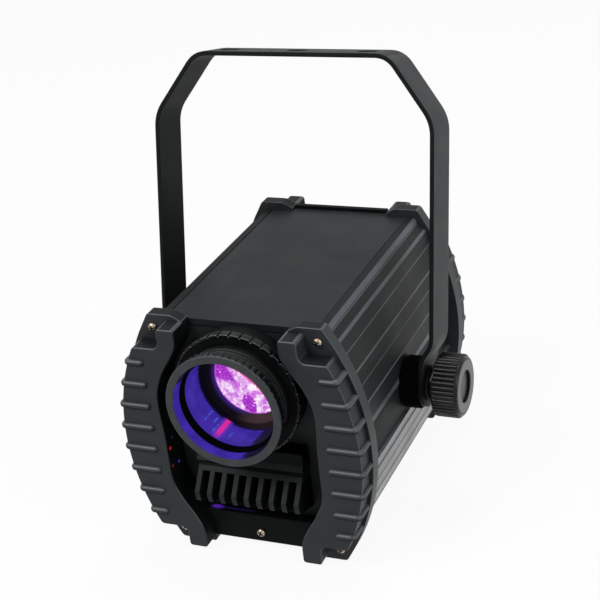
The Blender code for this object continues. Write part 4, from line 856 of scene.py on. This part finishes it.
def screw(scale, length):
    """A pan-head screw with a cross recess; its head's seat is at 0 and it points along +Y."""
    head = [(AXIS, -1.9), (0.9, -1.88), (1.7, -1.7), (2.3, -1.3), (2.66, -0.75), (2.8, -0.25), (2.8, 0)]
    shank = [(1.2 / scale, 0), (1.2 / scale, (length - 1.2) / scale), (AXIS, length / scale)]
    body = turned(head + shank, count=40)
    half, thin = 1.75, 0.44
    plus = [
        (half, -thin), (half, thin), (thin, thin), (thin, half), (-thin, half), (-thin, thin),
        (-half, thin), (-half, -thin), (-thin, -thin), (-thin, -half), (thin, -half), (thin, -thin),
    ]
    body = carved(body, prism(softened(plus, 0.15, 2), [(0, -4), (0, -1.6), (0.12, -0.6)]))
    # The cross recess is black: painted shade in the hollow of the brass head.
    for face in body.faces:
        centre = face.calc_center_median()
        if math.hypot(centre.x, centre.z) < 1.85 and -1.55 < centre.y < -0.5:
            face.material_index = 1
    bmesh.ops.scale(body, vec=(scale, scale, scale), verts=body.verts)
    return body


def drive_screw(node, kind, place, seat, spin):
    """One screw with its head on the seat, turned by this angle in radians."""
    where = place @ Matrix.Translation(seat) @ Matrix.Rotation(spin, 4, "Y")
    piece(node, kind.copy(), where, "screw_brass", brass, plain_black)


cap_screw = screw(scale=1, length=17)
skirt_screw = screw(scale=1, length=12)
panel_screw = screw(scale=0.75, length=5.8)
for end, place in (("front", BODY), ("rear", REAR)):
    corners = [(x, SCREW_SEAT, z) for z in (SCREW_Z, -SCREW_Z) for x in (-SCREW_X, SCREW_X)]
    for number, seat in enumerate(corners, 1):
        drive_screw(f"{end}_cap_screw_{number}", cap_screw, place, seat, 0.4 + 1.1 * number)
    drive_screw(f"{end}_skirt_screw", skirt_screw, place, (0, SCREW_SEAT, SKIRT_SCREW_Z), 0.5)
for number, (x, z) in enumerate(((-29.2, 62.5), (29.2, 62.5), (-32.2, -51.3), (32.2, -51.3)), 1):
    drive_screw(f"panel_screw_{number}", panel_screw, REAR, (x, 5.9, z), 0.9 * number)


# Vent hood


def vent_hood():
    """A hood under the lens, and below it nine sloping fins that hang from a narrow header."""
    hood_half, header_half, fin_half, fin_pitch, fin_count = 34.9, 34.4, 1.65, 8.17, 9
    section = [
        (RECESS_SEAT, -4), (-2.4, -5.2), (-2.4, -13.2), (-4.6, -16.6), (-2.1, -18.2), (RECESS_SEAT, -18.2),
    ]
    hood = prism(softened(section, 0.5, 3), rounding(-hood_half, hood_half, 0.3, 0.3), "X", kind=1)
    hood = carved(hood, disc(40.7, -12, THROUGH, centre=(0, LENS_Z)))
    # The hood block is painted shade, except its lower facet that faces forward and up.
    for face in hood.faces:
        lit = face.normal.y < -0.3 and face.normal.z > 0.2 and face.calc_center_median().z < -13.3
        face.material_index = 0 if lit else 1
    header = [
        (-1.6, -18), (-3.7, -20.3), (-5.7, -23), (-2.6, -23.6), (RECESS_SEAT, -23.6), (RECESS_SEAT, -18),
    ]
    prism(softened(header, 0.4, 3), rounding(-header_half, header_half, 0.3, 0.3), "X", hood)
    fin = [(-5.2, -22.6), (-14.2, -34), (-13.0, -40.3), (RECESS_SEAT, -47), (RECESS_SEAT, -23)]
    for i in range(fin_count):
        x = (i - (fin_count - 1) / 2) * fin_pitch
        prism(softened(fin, 0.9, 3), rounding(x - fin_half, x + fin_half, 0.3, 0.3), "X", hood)
    hood.normal_update()
    # Painted shade in the gap under the hood and on the fins' hidden faces.
    for face in hood.faces:
        height = face.calc_center_median().z
        hidden = face.normal.y > -0.3 or abs(face.normal.x) > 0.75
        if -20.2 < height < -16.7 or height < -24 and hidden:
            face.material_index = 1
    piece("vent_hood", hood, BODY, "cap_plastic", fin_shaded_plastic, recess_painted_shade)


vent_hood()


# Tube


def planks(*lips):
    """Points of lapped planks, from the top down; each lip is its height, its width and its overhang."""
    points = []
    for height, width, overhang in lips:
        top, bottom = height + width / 2, height - width / 2
        points += [(side_x(TUBE_CURVE, top), top), (side_x(TUBE_CURVE, bottom) + overhang, bottom)]
    return points


def tube_outline():
    """The tube's outer section: a grooved top, chamfered corners, lapped planks and a channel."""
    groove = [(47.5, 0), (47.7, -0.6), (48.1, -0.6), (48.3, 0)]
    cut = [(-CORNER_CUT, 0), (0, -CORNER_CUT), (-0.5, -3.2), (0.5, -3.7)]
    corner = [(CORNER_X + x, TUBE_TOP + z) for x, z in cut]
    side = [(x, TUBE_TOP + z) for x, z in groove] + corner
    upper = planks((65.5, 1.6, 0.9), (56.5, 0.4, 0.25), (43.5, 0.8, 0.5), (34, 0.4, 0.25), (22, 0.7, 0.45))
    channel = [(71, 21.2), (70.4, 20.4), (70.4, 8.6), (71.3, 6.2), (71, 3), (70.2, -18.4), (71.9, -19.4)]
    lower = planks((-28, 0.9, 0.5), (-38, 0.6, 0.3), (-48.5, 0.8, 0.4), (-60, 0.6, 0.3))
    return mirrored(side + upper + channel + lower + [(x, -z) for x, z in corner[::-1]])


def tube():
    """Its top and bottom keep the first finish; the others go by where a face lies and how it faces:
    painted highlight on lips, painted shade in the channel and the top's margins, painted reflection low
    down.
    """
    finishes_and_painted_light = (tube_finish, tube_side, tube_edge_highlight, tube_shade, tube_low_reflection)
    side, lip, shade, low = range(1, len(finishes_and_painted_light))
    bore = prism(bore_outline(), rounding(-20, 200))
    shape = carved(prism(tube_outline(), rounding(TUBE_START, TUBE_END)), bore)
    # Painted shade on the top's margins and in the channel, painted highlight on the lips, painted
    # reflection on the low planks.
    for face in shape.faces:
        centre = face.calc_center_median()
        outward = face.normal.x * math.copysign(1, centre.x)
        if centre.z > 72 and 47.4 < abs(centre.x) < CORNER_X - 2.3 and face.normal.z > -0.5:
            face.material_index = shade
        if outward < 0.2 or abs(face.normal.y) > 0.5:
            continue
        if 0.28 < face.normal.z < 0.95 and not 66.6 < centre.z < 69.7:
            face.material_index = lip
        elif centre.z < -19:
            face.material_index = low
        else:
            face.material_index = shade if centre.z < 6.3 else side
    piece("housing_tube", shape, BODY, "anodised_tube", *finishes_and_painted_light)


tube()


# Yoke


def yoke_bar():
    """A flat bar swept along its bent middle line, with round feet and softened long edges."""
    thick, wide, edge, middle_z = 1.4, 15.0, 0.45, 90.0
    outer = [(85.8, -15), (85.8, 17), (92.8, 26.8), (92.8, 163.8), (64, 203.3)]
    line = softened(shifted(mirrored(outer), thick), 8, 6, False)
    foot = [(line[0][0], -wide * math.cos(t)) for t in spaced(0.08, QUARTER, 12)]
    half = foot + line[1:-1]
    line = half + [(-x, z) for x, z in foot[::-1]]
    rings = []
    for i, (x, z) in enumerate(line):
        before = Vector(line[max(i - 1, 0)])
        after = Vector(line[min(i + 1, len(line) - 1)])
        out = Vector((after.y - before.y, before.x - after.x)).normalized()
        reach = math.sqrt(wide**2 - min(z, 0) ** 2)
        ring = []
        for a, b, start in ((1, 1, 0), (-1, 1, 1), (-1, -1, 2), (1, -1, 3)):
            for t in spaced(0, QUARTER, 4):
                turn = start * QUARTER + t
                off = a * (thick - edge) + edge * math.cos(turn)
                across = b * (reach - edge) + edge * math.sin(turn)
                ring.append(Vector((x + out.x * off, across, z + out.y * off)))
        rings.append(ring)
    shape = bmesh.new()
    # Faces turned inwards or forwards, and the top of the cross bar, get painted shade.
    for face in skin(shape, rings):
        centre = face.calc_center_median()
        inwards = Vector((-centre.x, 0, middle_z - centre.z)).normalized()
        if face.normal.dot(inwards) > 0.5 or face.normal.y < -0.5:
            face.material_index = 1
        elif face.normal.z > 0.9 and centre.z > 190:
            face.material_index = 2
    return shape


yoke_holes = [disc(6.5, 190, 215, "Z", (x, 0), 64) for x in (-46, 0, 46)]
bar = carved(yoke_bar(), disc(4.4, -100, 100, "X", count=48), *yoke_holes)
piece("yoke", bar, YOKE, "powder_coat", powder, powder_inner_shade, powder_top_shade)


# Pivots


def rippled(radius, depth, count, power):
    """A rim of round ridges with narrow valleys between them, eight points to a ridge."""
    outline = []
    for i in range(count * 8):
        angle = TAU * i / (count * 8)
        reach = radius - depth * (1 - abs(math.sin(count * angle / 2)) ** power)
        outline.append((reach * math.cos(angle), reach * math.sin(angle)))
    return outline


def knob_shape():
    """A knurled knob with its stud, and a satin ring round the hollow in its face."""
    shape = prism(rippled(20.0, 0.95, 40, 0.7), rounding(92.8, 107.5, 0.5, 0.9), "X")
    core = [
        (AXIS, 57), (3.2, 57), (4, 57.8), (4, 88.2), (9.3, 88.2), (9.5, 88.4), (9.5, 91.7), (9.9, 92),
        (18.6, 92), (18.95, 92.3), (18.95, 107.3), (18.8, 107.9), (18.3, 108.6), (17.5, 109.0),
        (16.9, 109.05), (16.7, 108.7), (10.5, 108.7), (10.3, 108.5), (10.3, 105.9), (10.1, 105.7),
        (AXIS, 105.7),
    ]
    turned(core, "X", shape=shape)
    face = [(10.4, 108.2), (10.4, 109.0), (10.6, 109.15), (16.5, 109.15), (16.7, 109.0), (16.7, 108.2)]
    return turned(face, "X", shape=shape, kind=1)


def spacer_shape():
    """A rubber ring with three grooves round it."""
    bore, inner, outer, start, end = 4.4, 15.8, 16.5, 69.8, 82.7
    profile = [(13.2, start), (16.4, 71.9)]
    for groove in (73.2, 76.2, 79.2):
        profile += [(outer, groove - 1.1), (outer, groove), (inner, groove + 0.3)]
        profile += [(inner, groove + 0.9), (outer, groove + 1.2)]
    profile += [(outer, end - 1), (15.7, end), (bore, end), (bore, start)]
    return turned(softened(profile, 0.3, 2), "X")


for side, name in ((-1, "left"), (1, "right")):
    place = PIVOT @ Matrix.Rotation(math.pi if side < 0 else 0, 4, "Z")
    piece(f"{name}_knob", knob_shape(), place, "gloss_black", gloss, satin_face)
    washer = softened([(4.4, 86.1), (11, 86.1), (11, 87.9), (4.4, 87.9)], 0.4, 3)
    piece(f"{name}_washer", turned(washer, "X"), place, "black_plastic", plain_black)
    piece(f"{name}_spacer", spacer_shape(), place, "black_rubber", rubber)


# Lens tube


def blocks(radius, depth, count, slot, first):
    """A rim of long blocks with a narrow slot between each two; the angles are in degrees."""
    outline = []
    pitch = 360 / count
    for i in range(count):
        at = first + i * pitch
        for turn, drop in ((-slot, 0.15), (-0.75 * slot, depth), (0.75 * slot, depth), (slot, 0.15)):
            outline.append((radius - drop, at + turn))
        outline += [(radius, at + turn) for turn in spaced(slot * 1.4, pitch - slot * 1.4, 4)]
    return [(r * math.cos(math.radians(a)), r * math.sin(math.radians(a))) for r, a in outline]


def focus_ring():
    """A notched rim on the sleeve that turns round the barrel."""
    rim = blocks(radius=40.2, depth=1.1, count=36, slot=0.85, first=-0.7)
    # Up-facing rims of the blocks get a painted highlight, and the sleeve is painted shade.
    shape = hoop(rim, 38.6, rounding(-7.6, -2.4, 0.5, 0.5), 2)
    sleeve = [
        (33.75, -7.0), (38.4, -7.0), (38.9, -6.6), (39.2, 1.6), (38.8, 2.0), (38.8, 7.7), (35.25, 7.7),
        (35.25, -5.2), (33.75, -5.2),
    ]
    turned(softened(sleeve, 0.3, 2), shape=shape, kind=1)
    piece("focus_ring", shape, LENS, "gloss_black", gloss, recess_painted_shade, cap_edge_highlight)


def front_ring():
    """A knurled ring at the barrel's mouth, with a satin face; its up-facing rims get a painted highlight,
    and its inside shows the barrel's painted glow.
    """
    shape = hoop(rippled(36.5, 0.6, 52, 0.5), 33.8, rounding(-25.7, -20.7, 0.35, 0.35), 3)
    rim = [
        (31.6, -26.7), (36.0, -26.7), (36.4, -26.2), (36.4, -25.4), (33.9, -25.4), (33.9, -23.8),
        (31.6, -23.8),
    ]
    turned(softened(rim, 0.45, 3), count=RIM_COUNT, shape=shape, kind=1)
    for face in shape.faces:
        centre = face.calc_center_median()
        if math.hypot(centre.x, centre.z) < 31.8 and centre.y > -26.3:
            face.material_index = 2
    piece("front_ring", shape, LENS, "gloss_black", gloss, ring_face, barrel_inside, cap_edge_highlight)


def strip(shape, kind, *profile):
    """An open profile spun round the lens axis."""
    rings = []
    for radius, along in profile:
        rings.append([shape.verts.new((a, along, b)) for a, b in circle(radius, RIM_COUNT)])
    for near, far in zip(rings, rings[1:]):
        for i in range(RIM_COUNT):
            j = (i + 1) % RIM_COUNT
            shape.faces.new((near[i], near[j], far[j], far[i])).material_index = kind


def lens_barrel():
    """The sliding tube: grooved outside, with a painted glow inside, and a cone that carries the front lens
    and has a painted glow too.
    """
    inner, outer, mouth, seat = 31.0, 33.4, -23.7, 7.5
    glass = (23.2, 12.5)
    grooves = []
    for start in (-18.6, -15.6, -12.6):
        grooves += [(outer, start), (33.05, start + 0.3), (33.05, start + 0.7), (outer, start + 1.0)]
    shape = bmesh.new()
    strip(shape, 0, (outer, mouth), *grooves, (outer, 34), (26.5, 34), (26.5, 12.5), glass)
    strip(shape, 1, (inner, seat), (inner, mouth), (outer, mouth))
    strip(shape, 2, glass, (27.3, seat), (inner, seat))
    bmesh.ops.remove_doubles(shape, verts=shape.verts, dist=0.001)
    bmesh.ops.recalc_face_normals(shape, faces=shape.faces)
    piece("lens_barrel", shape, LENS, "black_plastic", plain_black, barrel_inside, lens_seat())


def lens_glass():
    """A lens with a flat back and a dome towards the front."""
    front, edge, rim, reach, bulge = 12.8, 3.6, 26.2, 22.9, 4.2
    ball = (reach**2 + bulge**2) / (2 * bulge)
    limit = math.asin(reach / ball)
    centre = front - bulge + ball
    dome = [(ball * math.sin(a), centre - ball * math.cos(a)) for a in spaced(limit, 0.002, 18)]
    profile = [(AXIS, front + edge), (rim, front + edge), (rim, front), *dome]
    piece("front_lens", turned(profile), LENS, "lens_glass", beam_disc())


barrel_inside = barrel_painted_glow()
focus_ring()
front_ring()
lens_barrel()
lens_glass()
baffle = softened([(30.7, -20.4), (30.7, -14.6), (29.5, -14.6), (29.5, -20.4)], 0.5, 3)
piece("baffle_ring", turned(baffle, count=RIM_COUNT), LENS, "black_rubber", rubber)


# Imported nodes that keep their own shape


def dress(surface, *nodes):
    for node in nodes:
        for held in frame["nodes"][node].material_slots:
            held.material = surface.material


dress(plain_black, "lens_sleeve", "fan_frame", "fan_rotor", "power_inlet", "fuse_holder", "effect_wheel")
dress(powder, "rear_panel")
dress(gloss, "menu_button_1", "menu_button_2", "menu_button_3", "menu_button_4")
dress(steel, "left_nut_block", "right_nut_block", "lens_clip", "effect_motor")
dress(aluminium, "power_supply", "led_heatsink", "condenser_tube", "chassis")
dress(clear_glass(), "condenser_lens")
dress(board_finish(), "led_board", "control_board")
dress(window_finish(), "display")
dress(phosphor(), "led")


# Studio


LIT_PLACE = (0, 0, 0.1)


def studio_world(ambient):
    """White where it is seen, and this bright as a light."""
    world = bpy.data.worlds.new("studio")
    s = Nodes(world)
    sky = s.tree.nodes["Background"]
    sky.inputs["Color"].default_value = (1, 1, 1, 1)
    level = s.node("ShaderNodeMapRange")
    s.feed(level.inputs["Value"], s.seen_share())
    level.inputs["To Min"].default_value = ambient
    level.inputs["To Max"].default_value = 1.0
    s.feed(sky.inputs["Strength"], level.outputs[0])
    bpy.context.scene.world = world


def studio_floor(half_size, white_share):
    """A pale floor that is nearly white to the eye and still takes the object's shadow."""
    shape = bmesh.new()
    bmesh.ops.create_grid(shape, x_segments=8, y_segments=8, size=half_size)
    mesh = bpy.data.meshes.new("floor")
    shape.to_mesh(mesh)
    shape.free()
    s = Surface("floor", roughness=0.9, specular=0.0)
    grain = s.node("ShaderNodeTexNoise")
    grain.inputs["Scale"].default_value = 40
    s.to("Base Color", s.mix(grain.outputs["Fac"], (0.72, 0.72, 0.72), (0.76, 0.76, 0.76)))
    blend = s.node("ShaderNodeMixShader")
    s.feed(blend.inputs[0], s.math("MULTIPLY", s.seen_share(), white_share))
    s.feed(blend.inputs[1], s.shader.outputs[0])
    s.feed(blend.inputs[2], s.node("ShaderNodeEmission").outputs[0])
    s.feed(s.tree.nodes["Material Output"].inputs["Surface"], blend.outputs[0])
    mesh.materials.append(s.material)
    floor = bpy.data.objects.new("floor", mesh)
    bpy.context.scene.collection.objects.link(floor)


def softbox(name, place, size, power):
    """A rectangular lamp that points at the object; places and sizes in metres, power in watts."""
    light = bpy.data.lights.new(name, "AREA")
    light.shape = "RECTANGLE"
    light.size, light.size_y = size
    light.energy = power
    lamp = bpy.data.objects.new(name, light)
    lamp.location = place
    lamp.rotation_euler = (Vector(LIT_PLACE) - Vector(place)).to_track_quat("-Z", "Y").to_euler()
    bpy.context.scene.collection.objects.link(lamp)


def camera():
    """The photograph's view: from the right, above, with a slight roll."""
    place = (0.3639, -0.75935, 0.5350)
    right, up, back = (0.9199, 0.3773, -0.1068), (-0.0765, 0.4397, 0.8949), (0.3846, -0.8151, 0.4333)
    lens = bpy.data.cameras.new("camera")
    lens.lens = 89.40
    lens.sensor_width = 36
    view = bpy.data.objects.new("camera", lens)
    view.matrix_world = Matrix.Translation(place) @ Matrix((right, up, back)).transposed().to_4x4()
    bpy.context.scene.collection.objects.link(view)
    bpy.context.scene.camera = view


studio_world(ambient=0.24)
studio_floor(half_size=4.0, white_share=0.93)
softbox("key", (-0.9, -1.3, 1.8), (0.9, 0.9), 34)
softbox("fill", (1.8, -0.5, 0.9), (1.0, 1.2), 14)
softbox("top", (0.1, 0.5, 1.9), (0.7, 0.7), 14)
camera()
bpy.context.scene.view_settings.view_transform = "Standard"
